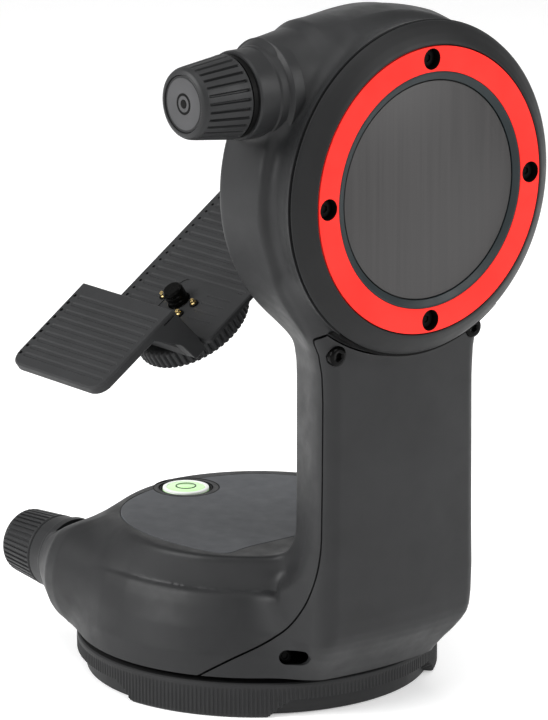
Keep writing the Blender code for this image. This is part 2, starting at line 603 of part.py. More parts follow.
def build_head(root):
    red_in, red_out = RED_RING_R
    seat_x, bearing_seat_r, under_x = CAP_FLOOR_X + GAP, HEAD_BEARING_R + GAP, 71.4
    flange_r, edge_x = HEAD_HOLLOW_R - GAP, CAP_EDGE_X + GAP
    cap = node("head_cap", move(to_x(turned([
        (bearing_seat_r, 61.2), (15.0, 61.2), (15.0, under_x), (40.5, 70.6), (40.5, CAP_FLANGE_X),
        (flange_r, CAP_FLANGE_X), (flange_r, edge_x), (CAP_R, edge_x), (45.6, 72.9), (43.4, 74.6), (41.2, 75.7),
        (red_out + GAP, CAP_FACE_X), (red_out + GAP, CAP_FLOOR_X), (0, CAP_FLOOR_X), (0, under_x),
        (bearing_seat_r, under_x)], FINE)), (0, 0, TILT_Z)), "black_plastic", root)
    red = node("red_ring", move(to_x(ring(red_in, red_out, seat_x, CAP_FACE_X, FINE)), (0, 0, TILT_Z)),
               "signal_red", root)
    for i in range(4):
        a = i * math.pi / 2
        spot = (0, RING_HOLE_PCR * math.cos(a), TILT_Z + RING_HOLE_PCR * math.sin(a))
        hole = guide(f"ring_hole_{i + 1}", move(to_x(disc(RING_HOLE_R, 73.0, 80, COARSE)), spot), root)
        tap = guide(f"ring_tap_{i + 1}", move(to_x(disc(1.4, 60, 74, COARSE)), spot), root)
        cut(red, hole)
        cut(cap, tap)
        node(f"ring_screw_{i + 1}", move(to_x(screw(2.6, 1.1, 1.1, 5.0)), (seat_x, *spot[1:])),
             "black_plastic", root)
    node("inner_ring", move(to_x(ring(*INNER_RING_R, seat_x, CAP_FACE_X, FINE)), (0, 0, TILT_Z)), "deck_grey",
         root)
    node("centre_plate", move(to_x(disc(PLATE_R, seat_x, CAP_FACE_X + 0.2, FINE, 0.25)), (0, 0, TILT_Z)),
         "face_grey", root)
    shaft_line = (0, 0, TILT_Z)
    for name, start, end in (("tilt_bearing_inner", 43.8, 47.6), ("tilt_bearing_outer", 61.5, 65.5)):
        race = ring(TILT_SLEEVE_R + GAP, HEAD_BEARING_R, start, end)
        node(name, move(to_x(race), shaft_line), "steel", root)
    node("tilt_reader_board", box((59.7, 61.1), (-9, 9), (TILT_Z - 33, TILT_Z - 17)), "board_green", root)
    node("main_board", box((50.0, 51.6), (-15, 15), (60, 104)), "board_green", root)


# ---------------------------------------------------------------- cradle


def ribbed(s0, s1, top, bottom, x0, x1):
    """A plate ribbed across its top: the outline runs along s and is extruded across x."""
    count = int((s1 - s0 - 1.2) / RIB_PITCH)
    margin = (s1 - s0 - count * RIB_PITCH + RIB_PITCH * 0.4) / 2
    outline = [(s0, bottom), (s1, bottom), (s1, top - RIB_DEPTH)]
    for i in reversed(range(count)):
        start = s0 + margin + i * RIB_PITCH
        crest = RIB_PITCH * 0.6
        outline += [(start + crest, top - RIB_DEPTH), (start + crest - 0.3, top), (start + 0.3, top),
                    (start, top - RIB_DEPTH)]
    outline.append((s0, top - RIB_DEPTH))
    return prism(outline, x0, x1, "X")


def build_cradle(tilt, clamp, shelf, pins):
    low = PLATE_H - PLATE_THICK
    plate = node("cradle_plate", ribbed(*PLATE_S, PLATE_H, low, *PLATE_X), "graphite", tilt)
    pivot_s, pivot_h = SHELF_PIVOT
    lug_half = SHELF_LEG_X - GAP
    lug = rounded_box((-lug_half, lug_half), (pivot_s - 2.0, PLATE_S[0] + 1),
                      (low, PLATE_H - RIB_DEPTH - 0.1), 0.8)
    combine(plate, "UNION", guide("shelf_lug", lug, tilt))
    stud_hole = move(disc(3.4, low - 5, PLATE_H + 5, COARSE), (STUD_X, STUD_S, 0))
    hinge_hole = move(to_x(disc(SHELF_PIN_R + GAP, -30, 30, COARSE)), (0, pivot_s, pivot_h))
    skin = PLATE_H - PLATE_SKIN
    for i, (x0, x1, s0, s1) in enumerate(((PLATE_CORE_X, 30, -70, 60), (-30, -PLATE_CORE_X, -70, 60),
                                          (-25, 25, *PLATE_RELIEF_S))):
        cut(plate, guide(f"plate_relief_{i + 1}", box((x0, x1), (s0, s1), (low - 1, skin)), tilt))
    cut(plate, guide("stud_hole", stud_hole, tilt), guide("shelf_pin_hole", hinge_hole, tilt))
    for i, (x, s) in enumerate(PIN_SPOTS):
        hole = move(disc(PIN_R + GAP, low - 5, PLATE_H + 5, 12), (x, s, 0))
        cut(plate, guide(f"contact_hole_{i + 1}", hole, tilt))
        node(f"contact_pin_{i + 1}", turned([(0, PIN_LOW), (PIN_R, PIN_LOW), (PIN_R, PLATE_H + 0.7),
                                             (PIN_R * 0.6, PIN_HIGH), (0, PIN_HIGH)], 12), "brass", pins[i])
    hub_x, hub_end = BRACKET_X
    foot_top = low - GAP
    bracket = node("cradle_bracket", prism(
        [(-14, foot_top - 4), (14, foot_top - 4), (15, foot_top), (14.5, -8)] + arc(0, 0, 14.0, 0, 180, 12)
        + [(-14.5, -8), (-15, foot_top)], 26.0, hub_x + 1.5, "X"), "graphite", tilt)
    combine(bracket, "UNION",
            guide("bracket_foot", rounded_box((-19, 27), (-14, 14), (foot_top - 4, foot_top), 2), tilt),
            guide("bracket_hub", to_x(disc(13.0, hub_x, hub_end, MEDIUM, 0.6)), tilt))
    cut(bracket, guide("bracket_bore", to_x(disc(TILT_SHAFT_R + GAP, 33.0, 50, COARSE)), tilt))
    for i, x in enumerate((-CRADLE_SCREW_X, CRADLE_SCREW_X)):
        bore = move(disc(1.6 + GAP, foot_top - 9, low + 2.6, COARSE), (x, 0, 0))
        hole = guide(f"cradle_hole_{i + 1}", bore, tilt)
        cut(bracket, hole)
        cut(plate, hole)
        fixing = move(turn(screw(2.8, 1.8, 1.6, 6.3), math.pi, "X"), (x, 0, foot_top - 4 - GAP))
        node(f"cradle_screw_{i + 1}", fixing, "steel", tilt)
    blind_end, step_x, shaft_end = 33.0 + GAP, hub_end + GAP, 66.0
    node("tilt_shaft", to_x(turned([
        (0, blind_end), (TILT_SHAFT_R, blind_end), (TILT_SHAFT_R, step_x), (TILT_SLEEVE_R, step_x),
        (TILT_SLEEVE_R, shaft_end), (0, shaft_end)], MEDIUM)), "steel", tilt)
    node("tilt_code_disc", to_x(ring(TILT_SLEEVE_R + GAP, CODE_DISC_R, 58.4, 59.4)), "code_glass", tilt)

    shelf_shape = ribbed(*SHELF_S, SHELF_H, SHELF_H - SHELF_THICK, -SHELF_HALF, SHELF_HALF)
    shelf_plate = node("rest_shelf", shelf_shape, "graphite", shelf)
    move_to_pivot(shelf_plate, pivot_s, pivot_h)
    under = SHELF_H - SHELF_THICK + 0.5
    leg = [(pivot_s - 2.0, pivot_h - 1.6), (pivot_s + 1.9, pivot_h - 1.6), (pivot_s + 2.1, pivot_h + 2.0),
           (SHELF_S[1], under), (SHELF_S[1] - 10.4, under), (pivot_s - 3.6, pivot_h + 5.2)]
    local_leg = [(s - pivot_s, h - pivot_h) for s, h in leg]
    pin_hole = guide("leg_pin_hole", to_x(disc(SHELF_PIN_R + GAP, -19.5, 19.5, COARSE)), shelf)
    for i, (x0, x1) in enumerate(((-SHELF_HALF, -SHELF_LEG_X), (SHELF_LEG_X, SHELF_HALF))):
        combine(shelf_plate, "UNION", guide(f"shelf_leg_{i + 1}", prism(local_leg, x0, x1, "X"), shelf))
    cut(shelf_plate, pin_hole)
    node("shelf_pin", to_x(disc(SHELF_PIN_R, -19.2, 19.2, COARSE)), "steel", shelf)

    wheel = node("clamp_wheel", fluted(CLAMP_R, CLAMP_R, *CLAMP_H, 0.6, 36), "graphite", clamp)
    neck_r, thread_r = 2.6, SOCKET_R - 0.1
    cut(wheel, guide("clamp_bore", disc(neck_r + GAP, -30, -20, COARSE), clamp))
    low, shoulder, tip = CLAMP_H[0] + 0.4, CLAMP_H[1] + GAP, PLATE_H + STUD_PROUD
    node("clamp_stud", turned([(0, low), (neck_r, low), (neck_r, shoulder), (thread_r, shoulder),
                               (thread_r, tip - 0.6), (neck_r, tip), (0, tip)], COARSE), "black_plastic", clamp)


def move_to_pivot(piece, s, h):
    """Redraws a piece from the cradle's frame in the frame of a pivot at (s, h)."""
    piece.data.transform(Matrix.Translation(Vector((0, -s, -h)) * MM))


# ---------------------------------------------------------------- assembly


for old in list(bpy.data.objects):
    bpy.data.objects.remove(old, do_unlink=True)

base_frame = empty("base_frame", None, (0, 0, -SOCKET_DEPTH))
azimuth_axis = empty("azimuth_axis", base_frame)
tilt_axis = empty("tilt_axis", azimuth_axis, (0, 0, TILT_Z), (CRADLE_LEAN, 0, 0))
azimuth_worm_axis = empty("azimuth_worm_axis", azimuth_axis, (0, -AZIMUTH_OFFSET, AZIMUTH_DRIVE_Z),
                          (0, -math.pi / 2, 0))
azimuth_wheel_axis = empty("azimuth_wheel_axis", azimuth_axis, (0, 0, AZIMUTH_DRIVE_Z))
tilt_worm_axis = empty("tilt_worm_axis", azimuth_axis, (TILT_DRIVE_X, 0, TILT_Z + TILT_OFFSET),
                       (math.pi / 2, 0, 0))
tilt_wheel_axis = empty("tilt_wheel_axis", azimuth_axis, (TILT_DRIVE_X, 0, TILT_Z), (0, math.pi / 2, 0))
clamp_axis = empty("clamp_axis", tilt_axis, (STUD_X, STUD_S, 0))
shelf_axis = empty("shelf_axis", tilt_axis, (0, *SHELF_PIVOT))
pin_axes = [empty(f"contact_axis_{i + 1}", tilt_axis, (*spot, 0)) for i, spot in enumerate(PIN_SPOTS)]

build_base(base_frame)
build_housing(azimuth_axis)
build_deck(azimuth_axis)
build_head(azimuth_axis)
drive("azimuth", AZIMUTH_TEETH, azimuth_worm_axis, azimuth_wheel_axis, math.pi / 2, -math.pi / 2, SPINDLE_R + GAP,
      56.6, 71.6, (10.9, 9.7))
drive("tilt", TILT_TEETH, tilt_worm_axis, tilt_wheel_axis, -math.pi / 2, math.pi, TILT_SLEEVE_R + GAP,
      52.3, 67.7, (11.7, 9.8))
build_cradle(tilt_axis, clamp_axis, shelf_axis, pin_axes)
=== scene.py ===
"""Looks for the two-axis instrument head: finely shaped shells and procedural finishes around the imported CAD.

Heights are millimetres above the plane the feet rest on. The part's own frame starts SOCKET_DEPTH higher,
at the floor of the tripod socket, and REST carries one into the other. The other frames stand on REST: TILT
on the tilt axis, HEAD looking out along it, CLAMP on the clamp's stud, and one on each fine-motion knob.
"""

import math

import bmesh
import bpy
import numpy as np
from mathutils import Matrix, Vector


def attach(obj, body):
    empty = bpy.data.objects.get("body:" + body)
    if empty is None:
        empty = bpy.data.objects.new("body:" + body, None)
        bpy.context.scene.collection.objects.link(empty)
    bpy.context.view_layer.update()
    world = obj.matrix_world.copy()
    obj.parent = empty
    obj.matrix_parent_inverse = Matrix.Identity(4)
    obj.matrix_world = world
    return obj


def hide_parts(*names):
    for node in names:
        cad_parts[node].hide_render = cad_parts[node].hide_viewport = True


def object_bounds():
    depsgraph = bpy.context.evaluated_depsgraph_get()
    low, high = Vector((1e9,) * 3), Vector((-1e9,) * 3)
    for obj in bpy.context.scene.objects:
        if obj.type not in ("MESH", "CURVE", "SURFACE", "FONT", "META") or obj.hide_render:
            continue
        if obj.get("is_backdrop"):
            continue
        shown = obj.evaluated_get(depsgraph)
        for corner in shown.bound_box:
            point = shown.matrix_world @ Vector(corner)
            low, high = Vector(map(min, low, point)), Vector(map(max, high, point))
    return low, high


MM = 0.001
SOCKET_DEPTH = 8.0
TILT_Z = 154.75
LEAN = math.radians(34.6)
AZIMUTH_OFFSET, TILT_OFFSET = 30.6, 29.32
AZIMUTH_DRIVE_Z = 25.6
TILT_DRIVE_X = 52.0
DECK_Z = 45.0
STUD = (0.0, -46.8)
SHELF_HINGE = (0, -59.5, -19.7)
VIAL_X = -33.4
SHARP = 34.0
CAMERA_TURN = -39.16

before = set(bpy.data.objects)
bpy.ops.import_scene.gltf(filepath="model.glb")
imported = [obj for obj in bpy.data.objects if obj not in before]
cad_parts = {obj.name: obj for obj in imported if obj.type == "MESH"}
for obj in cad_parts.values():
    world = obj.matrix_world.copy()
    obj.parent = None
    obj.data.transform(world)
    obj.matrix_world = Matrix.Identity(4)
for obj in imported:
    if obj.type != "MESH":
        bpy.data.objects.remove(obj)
start_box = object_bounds()

REST = Matrix.Translation((0, 0, -SOCKET_DEPTH))
TILT = REST @ Matrix.Translation((0, 0, TILT_Z)) @ Matrix.Rotation(LEAN, 4, "X")
HEAD = REST @ Matrix.Translation((0, 0, TILT_Z)) @ Matrix.Rotation(math.pi / 2, 4, "Y")
AZIMUTH_KNOB = (REST @ Matrix.Translation((0, -AZIMUTH_OFFSET, AZIMUTH_DRIVE_Z))
                @ Matrix.Rotation(-math.pi / 2, 4, "Y"))
TILT_KNOB = (REST @ Matrix.Translation((TILT_DRIVE_X, 0, TILT_Z + TILT_OFFSET))
             @ Matrix.Rotation(math.pi / 2, 4, "X"))
CLAMP = TILT @ Matrix.Translation((*STUD, 0))
ALONG_X = Matrix.Rotation(math.pi / 2, 4, "Y")
UPSIDE_DOWN = Matrix.Rotation(math.pi, 4, "X")


# ---------------------------------------------------------------- finishes


class Finish:
    """A procedural material built up from named steps."""

    def __init__(self, name):
        self.material = bpy.data.materials.new(name)
        self.material.use_nodes = True
        self.tree = self.material.node_tree
        self.shader = self.tree.nodes["Principled BSDF"]
        self.place = self.tree.nodes.new("ShaderNodeTexCoord").outputs["Object"]

    def node(self, kind, **values):
        made = self.tree.nodes.new(kind)
        for key, value in values.items():
            if key in made.inputs:
                made.inputs[key].default_value = value
            else:
                setattr(made, key, value)
        return made

    def link(self, source, target):
        self.tree.links.new(source, target)

    def noise(self, scale, detail=3.0, stretch=None, roughness=0.55):
        made = self.node("ShaderNodeTexNoise", Scale=scale, Detail=detail, Roughness=roughness)
        source = self.place
        if stretch:
            mapping = self.node("ShaderNodeMapping")
            mapping.inputs["Scale"].default_value = stretch
            self.link(source, mapping.inputs["Vector"])
            source = mapping.outputs["Vector"]
        self.link(source, made.inputs["Vector"])
        return made.outputs["Fac"]

    def ramp(self, source, low, high, start=0.3, end=0.7):
        """Maps a 0-1 value onto low..high; low and high are both numbers or both colours."""
        if isinstance(low, (int, float)):
            made = self.node("ShaderNodeMapRange")
            for key, value in (("From Min", start), ("From Max", end), ("To Min", low), ("To Max", high)):
                made.inputs[key].default_value = value
            self.link(source, made.inputs["Value"])
            return made.outputs["Result"]
        made = self.node("ShaderNodeValToRGB")
        ends = made.color_ramp.elements
        ends[0].position, ends[1].position = start, end
        ends[0].color, ends[1].color = (*low, 1), (*high, 1)
        self.link(source, made.inputs["Fac"])
        return made.outputs["Color"]

    def mix(self, factor, a, b):
        made = self.node("ShaderNodeMix", data_type="RGBA")
        if isinstance(factor, float):
            made.inputs["Factor"].default_value = factor
        else:
            self.link(factor, made.inputs["Factor"])
        for slot, value in (("A", a), ("B", b)):
            socket = next(s for s in made.inputs if s.name == slot and s.type == "RGBA")
            if isinstance(value, tuple):
                socket.default_value = (*value, 1)
            else:
                self.link(value, socket)
        return next(s for s in made.outputs if s.type == "RGBA")

    def edge_wear_and_highlight(self, radius):
        """1 on edges, 0 elsewhere, from how far a bevelled normal leans away from the true one."""
        bevel = self.node("ShaderNodeBevel", samples=4)
        bevel.inputs["Radius"].default_value = radius * MM
        true = self.node("ShaderNodeNewGeometry").outputs["Normal"]
        dot = self.node("ShaderNodeVectorMath", operation="DOT_PRODUCT")
        self.link(bevel.outputs["Normal"], dot.inputs[0])
        self.link(true, dot.inputs[1])
        return self.ramp(dot.outputs["Value"], 1.0, 0.0, 0.75, 0.98)

    def bump(self, source, strength, depth):
        made = self.node("ShaderNodeBump", Strength=strength, Distance=depth * MM)
        self.link(source, made.inputs["Height"])
        last = self.shader.inputs["Normal"]
        if last.links:
            self.link(last.links[0].from_socket, made.inputs["Normal"])
        self.link(made.outputs["Normal"], last)

    def colour(self, source):
        self.link(source, self.shader.inputs["Base Color"])

    def rough(self, source):
        self.link(source, self.shader.inputs["Roughness"])


def plastic(name, low, high, rough=(0.42, 0.56), grain=0.03, edge=None, gloss=0.2):
    """Moulded plastic: cloudy tone, spark-eroded grain in the bump, edges lighter: part wear, part painted
    highlight.
    """
    made = Finish(name)
    tone = made.ramp(made.noise(55, 4), low, high)
    # the edge colour lightens edges: part wear, part painted highlight
    if edge:
        tone = made.mix(made.ramp(made.edge_wear_and_highlight(0.35), 0.0, 0.55, 0.0, 1.0), tone, edge)
    made.colour(tone)
    made.shader.inputs["Specular IOR Level"].default_value = gloss
    made.rough(made.ramp(made.noise(190, 4), *rough))
    made.bump(made.noise(2600, 2), 0.35, grain)
    return made.material


def metal(name, low, high, rough=(0.22, 0.4)):
    """Metal with fine level streaks."""
    stretch = (1, 1, 14)
    made = Finish(name)
    made.colour(made.ramp(made.noise(160, 4, stretch), low, high))
    made.rough(made.ramp(made.noise(420, 3, stretch), *rough))
    made.shader.inputs["Metallic"].default_value = 1.0
    made.bump(made.noise(900, 3, stretch), 0.2, 0.01)
    return made.material


# A third colour, where given, lightens the edges: part wear, part painted highlight.
BODY = plastic("body_finish", (0.0145, 0.0148, 0.0154), (0.0185, 0.0189, 0.0197), (0.40, 0.52), 0.03)
BASE = plastic("base_finish", (0.0145, 0.0147, 0.0152), (0.019, 0.0193, 0.020), (0.48, 0.6), 0.03,
               (0.030, 0.030, 0.031))
CRADLE = plastic("cradle_finish", (0.0165, 0.0168, 0.0175), (0.022, 0.0225, 0.0235), (0.48, 0.6), 0.03,
                 (0.031, 0.0315, 0.032))
DARK = plastic("cap_finish", (0.0085, 0.0087, 0.0090), (0.0115, 0.0117, 0.0121), (0.40, 0.5), 0.02,
               (0.018, 0.018, 0.019), 0.17)
BLACK = plastic("black_finish", (0.0012, 0.0012, 0.0012), (0.003, 0.003, 0.003), (0.45, 0.6), gloss=0.08)
PANEL = plastic("panel_finish", (0.056, 0.059, 0.065), (0.064, 0.067, 0.073), (0.45, 0.55), 0.02)
TRIM = plastic("trim_finish", (0.010, 0.015, 0.017), (0.016, 0.022, 0.024), (0.35, 0.45), 0.01)
RED = plastic("signal_red_finish", (0.86, 0.022, 0.016), (0.95, 0.032, 0.024), (0.4, 0.5), 0.006, gloss=0.1)
FACE = plastic("knob_face_finish", (0.040, 0.040, 0.042), (0.058, 0.058, 0.060), (0.36, 0.48), 0.02)
STEEL = metal("steel_finish", (0.42, 0.43, 0.44), (0.6, 0.61, 0.62))
BRASS = metal("brass_finish", (0.58, 0.4, 0.16), (0.74, 0.54, 0.25))
GOLD = metal("gold_finish", (0.85, 0.6, 0.22), (0.95, 0.74, 0.36), (0.12, 0.22))
INK = plastic("black_steel_finish", (0.001, 0.001, 0.001), (0.003, 0.003, 0.003), (0.16, 0.26), 0.01,
              gloss=0.06)


def brushed():
    """Dark anodised plate, brushed one way."""
    made = Finish("brushed_finish")
    streak = made.noise(900, 2, (1.0, 1.0, 0.02))
    made.colour(made.ramp(streak, (0.021, 0.0198, 0.0198), (0.031, 0.0292, 0.0292)))
    made.rough(made.ramp(streak, 0.44, 0.54))
    made.shader.inputs["Metallic"].default_value = 0.15
    made.bump(streak, 0.06, 0.006)
    return made.material


def vial_liquid():
    """The level's green liquid, with a faint painted glow standing in for light through it."""
    made = Finish("vial_finish")
    made.colour(made.ramp(made.noise(90, 3), (0.50, 0.90, 0.36), (0.64, 0.98, 0.50)))
    made.rough(made.ramp(made.noise(300, 2), 0.05, 0.12))
    made.shader.inputs["Coat Weight"].default_value = 0.6
    # painted glow: the liquid is no lamp
    made.link(made.ramp(made.noise(60, 2), (0.45, 0.86, 0.33), (0.55, 0.95, 0.42)),
              made.shader.inputs["Emission Color"])
    made.shader.inputs["Emission Strength"].default_value = 0.12
    return made.material


def board():
    """Green circuit board with gold pads."""
    made = Finish("board_finish")
    cells = made.node("ShaderNodeTexVoronoi", Scale=420.0)
    made.link(made.place, cells.inputs["Vector"])
    made.colour(made.mix(made.ramp(cells.outputs["Distance"], 0.0, 1.0, 0.35, 0.6),
                         (0.012, 0.09, 0.035), (0.2, 0.17, 0.05)))
    made.rough(made.ramp(made.noise(300), 0.35, 0.6))
    made.bump(cells.outputs["Distance"], 0.3, 0.05)
    return made.material


def code_glass():
    """Glass with fine round lines, for the angle readers' discs."""
    made = Finish("code_finish")
    lines = made.node("ShaderNodeTexWave", wave_type="RINGS", rings_direction="SPHERICAL", Scale=160.0)
    made.link(made.place, lines.inputs["Vector"])
    made.colour(made.ramp(lines.outputs["Fac"], (0.12, 0.14, 0.15), (0.55, 0.6, 0.62)))
    made.rough(made.ramp(made.noise(260), 0.06, 0.16))
    return made.material


PLATE = brushed()
VIAL_FINISH = vial_liquid()
WHITE = plastic("white_finish", (0.75, 0.78, 0.74), (0.86, 0.88, 0.84), (0.3, 0.42), 0.01)
BOARD = board()
CODE = code_glass()


# ---------------------------------------------------------------- meshes


def piece(name, verts, faces, finish, place=REST, merge=1e-4):
    """Makes a mesh object, drawn in mm in the frame given by place."""
    mesh = bpy.data.meshes.new(name)
    mesh.from_pydata([tuple(v) for v in np.asarray(verts, float)], [], faces)
    bm = bmesh.new()
    bm.from_mesh(mesh)
    if merge:
        bmesh.ops.remove_doubles(bm, verts=bm.verts, dist=merge)
        bmesh.ops.dissolve_degenerate(bm, edges=bm.edges, dist=1e-5)
        bmesh.ops.recalc_face_normals(bm, faces=bm.faces)
    bm.to_mesh(mesh)
    bm.free()
    mesh.transform(Matrix.Scale(MM, 4) @ place)
    finish_off(mesh)
    made = bpy.data.objects.new(name, mesh)
    bpy.context.scene.collection.objects.link(made)
    if finish:
        mesh.materials.append(finish)
    return made


def finish_off(mesh, sharp=SHARP):
    """Smooth shading, with edges kept sharp where the faces turn by more than sharp degrees."""
    mesh.shade_smooth()
    mesh.set_sharp_from_angle(angle=math.radians(sharp))


def soft(points, radius, closed=False, steps=4):
    """Rounds the corners of a path with short curves."""
    points = [np.array(p, float) for p in points]
    out = []
    for i, p in enumerate(points):
        if not closed and i in (0, len(points) - 1):
            out.append(tuple(p))
            continue
        a, b = points[i - 1] - p, points[(i + 1) % len(points)] - p
        la, lb = np.linalg.norm(a), np.linalg.norm(b)
        reach = min(radius, la * 0.49, lb * 0.49)
        start, end = p + a / la * reach, p + b / lb * reach
        for k in range(steps + 1):
            s = k / steps
            out.append(tuple((1 - s) ** 2 * start + 2 * s * (1 - s) * p + s * s * end))
    return out


def lathe(profile, columns=160, shape=None, loop=False):
    """Spins (radius, height) points about Z. shape(angle, radius, height) may move the radius."""
    rows = np.array(profile, float)
    angles = np.arange(columns) * 2 * math.pi / columns
    r = np.repeat(rows[:, :1], columns, 1)
    z = np.repeat(rows[:, 1:], columns, 1)
    a = np.repeat(angles[None, :], len(rows), 0)
    if shape:
        r = shape(a, r, z)
    verts = np.stack([r * np.cos(a), r * np.sin(a), z], -1).reshape(-1, 3)
    faces = []
    count = len(rows)
    for i in range(count if loop else count - 1):
        n = (i + 1) % count
        low, high = i * columns, n * columns
        for j in range(columns):
            k = (j + 1) % columns
            faces.append((low + j, low + k, high + k, high + j))
    return verts, faces


def rod(radius, low, high, columns):
    return lathe([(0, low), (radius, low), (radius, high), (0, high)], columns)


def slab(outline, low, high, bevel=0.0, axis="Z"):
    """Extrudes an outline; bevel draws the two rims in along the outline's normals."""
    outline = np.array(outline, float)
    ahead, behind = np.roll(outline, -1, 0), np.roll(outline, 1, 0)
    along = ahead - behind
    along /= np.maximum(np.linalg.norm(along, axis=1, keepdims=True), 1e-9)
    normal = np.stack([along[:, 1], -along[:, 0]], 1)
    area = np.sum(outline[:, 0] * ahead[:, 1] - ahead[:, 0] * outline[:, 1])
    normal *= np.sign(area)
    levels = [(low, 0), (high, 0)]
    if bevel:
        levels = [(low, bevel), (low + bevel, 0), (high - bevel, 0), (high, bevel)]
    count = len(outline)
    verts = []
    for z, inset in levels:
        flat = outline - normal * inset
        z_column = np.full((count, 1), z)
        a, b = flat[:, :1], flat[:, 1:]
        verts.append(np.hstack({"X": (z_column, a, b), "Y": (a, z_column, b), "Z": (a, b, z_column)}[axis]))
    faces = [tuple(range(count))[::-1]]
    for i in range(len(levels) - 1):
        faces += [(i * count + j, i * count + (j + 1) % count, (i + 1) * count + (j + 1) % count,
                   (i + 1) * count + j) for j in range(count)]
    faces.append(tuple((len(levels) - 1) * count + j for j in range(count)))
    return np.vstack(verts), faces


def join(*parts):
    verts, faces, count = [], [], 0
    for part_verts, part_faces in parts:
        verts.append(np.asarray(part_verts, float))
        faces += [tuple(i + count for i in face) for face in part_faces]
        count += len(part_verts)
    return np.vstack(verts), faces


def shift(part, x, y=0.0):
    return np.asarray(part[0], float) + np.array((x, y, 0.0)), part[1]


def spin(part, matrix):
    turn = np.array(matrix.to_3x3(), float)
    return np.asarray(part[0], float) @ turn.T, part[1]


def circle(cx, cy, r, start=0, end=360, steps=64):
    full = abs(end - start) >= 360
    angles = np.radians(np.linspace(start, end, steps, endpoint=not full))
    return [(cx + r * math.cos(a), cy + r * math.sin(a)) for a in angles]


def rounded(x0, x1, y0, y1, r, steps=6):
    """A rectangle with round corners."""
    return (circle(x1 - r, y1 - r, r, 0, 90, steps) + circle(x0 + r, y1 - r, r, 90, 180, steps)
            + circle(x0 + r, y0 + r, r, 180, 270, steps) + circle(x1 - r, y0 + r, r, 270, 360.001, steps))


def apply(target, operation, tool):
    """Applies one Boolean at once and throws the tool away."""
    step = target.modifiers.new("step", "BOOLEAN")
    step.operation, step.object, step.solver = operation, tool, "MANIFOLD"
    bpy.context.view_layer.update()
    evaluated = target.evaluated_get(bpy.context.evaluated_depsgraph_get())
    mesh = bpy.data.meshes.new_from_object(evaluated)
    old = target.data
    target.modifiers.clear()
    target.data = mesh
    mesh.name = old.name
    bpy.data.meshes.remove(old)
    bpy.data.objects.remove(tool)


def tool(verts_faces, place=REST):
    return piece("tool", *verts_faces, None, place)


def copy_of(source, name="copy"):
    made = source.copy()
    made.data = source.data.copy()
    made.name = name
    bpy.context.scene.collection.objects.link(made)
    return made


def cut(target, *parts, place=REST):
    for part in parts:
        apply(target, "DIFFERENCE", tool(part, place))


def show(target, body, slot, *nodes):
    """Puts a finished piece on its body, in place of the CAD nodes named."""
    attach(target, body)
    if nodes:
        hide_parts(*nodes)
    return target


# ---------------------------------------------------------------- the turret's shape as one field


def smin(a, b, k):
    """The smaller of two fields, blended over a width of k mm."""
    h = np.maximum(k - np.abs(a - b), 0) / k
    return np.minimum(a, b) - h * h * k * 0.25


def smax(a, b, k):
    return -smin(-a, -b, k)


def table(x, pairs):
    xs, ys = zip(*pairs)
    return np.interp(x, xs, ys).astype(np.float32)


# Each table is read by straight steps between its rows. By height above the feet: the skirt's radius, the
# arm's reach along +x, the arm's half width, and how far out in x the tier runs along the arm.
SKIRT = ((8, 53.1), (12, 53.0), (18, 52.3), (25, 50.3), (31, 48), (35.5, 45.9), (38, 45.6), (50, 46))
REACH = ((8, 50), (12, 52.6), (15, 55.6), (20, 60.0), (23, 62.4), (25.5, 63.9), (28, 64.8), (32, 65.3),
         (40, 65.5), (200, 65.5))
FLANK = ((8, 22), (12, 23.5), (20, 27.0), (25, 28.3), (40, 28.5), (53, 28.2), (96, 27.8), (104, 28.2),
         (110, 29.4), (116, 32.2), (121, 35.2), (126, 38.0), (134, 43.0))
RIBBON_X = ((30, 38), (35.5, 40.5), (40.3, 48.5), (44.6, 53.8), (50.1, 58.2), (55.5, 60.4), (61.7, 61.2),
            (68.5, 61.8), (75, 62), (200, 62))
# By angle round the turret's axis: the radius of the tier's rim, and how steeply its wall stands.
RIM_R = ((-180, 43.4), (-160, 42.8), (-135, 41.6), (-110, 41.2), (-94, 41.8), (-75, 43.6), (-60, 44.6),
         (180, 44.6))
WALL_ANGLE = ((-180, 84), (-165, 75), (-155, 55), (-145, 34), (-135, 21), (-130, 17), (-126, 22), (-119, 33),
              (-109, 46), (-94, 63), (-75, 80), (-60, 87), (180, 87))
# By x: the radius of the azimuth knob's spout about the worm, and the head's radius about the tilt axis.
SPOUT_R = ((-60, 10.4), (-54, 10.5), (-50.8, 11.4), (-46, 14.2), (-39, 17.9), (-34, 18.8), (-10, 18.9),
           (0, 17.6), (10, 14), (20, 8))
HEAD_R = ((40, 47.5), (59.2, 47.5), (60.0, 47.0), (61.2, 45.6), (62.4, 45.1), (64.2, 45.1), (68, 45.9),
          (70.6, 46.8), (74, 46.9))
# By y: the two half widths of the tilt knob's boss.
BOSS_HALF_X = ((-54, 11.0), (-44, 11.4), (-41, 13.2), (-36, 13.8), (-30, 15.4), (-24, 17.2), (-16, 18.2),
               (-9, 17), (-2, 14), (6, 10), (20, 6), (34, 4))
BOSS_HALF_Z = ((-54, 11.0), (-44, 11.4), (-41.5, 13.6), (-40.2, 14.6), (-30, 16.1), (-26.5, 17.9),
               (-17, 18.5), (0, 18.2), (20, 14.0), (34, 8.0))
# By height: how softly the skirt and the arm run into each other.
SKIRT_BLEND = ((8, 9), (24, 9), (35, 4), (200, 4))

FLOOR_Z = 10.0
CREASE_Z = 35.5
HEAD_BACK_X = 41.2
HEAD_FRONT_X = 74.0
WALL = 2.2
ARM_FOOT_X = 43.2
ARM_HALF_Y, RIBBON_HALF_Y = 28.5, 21.5


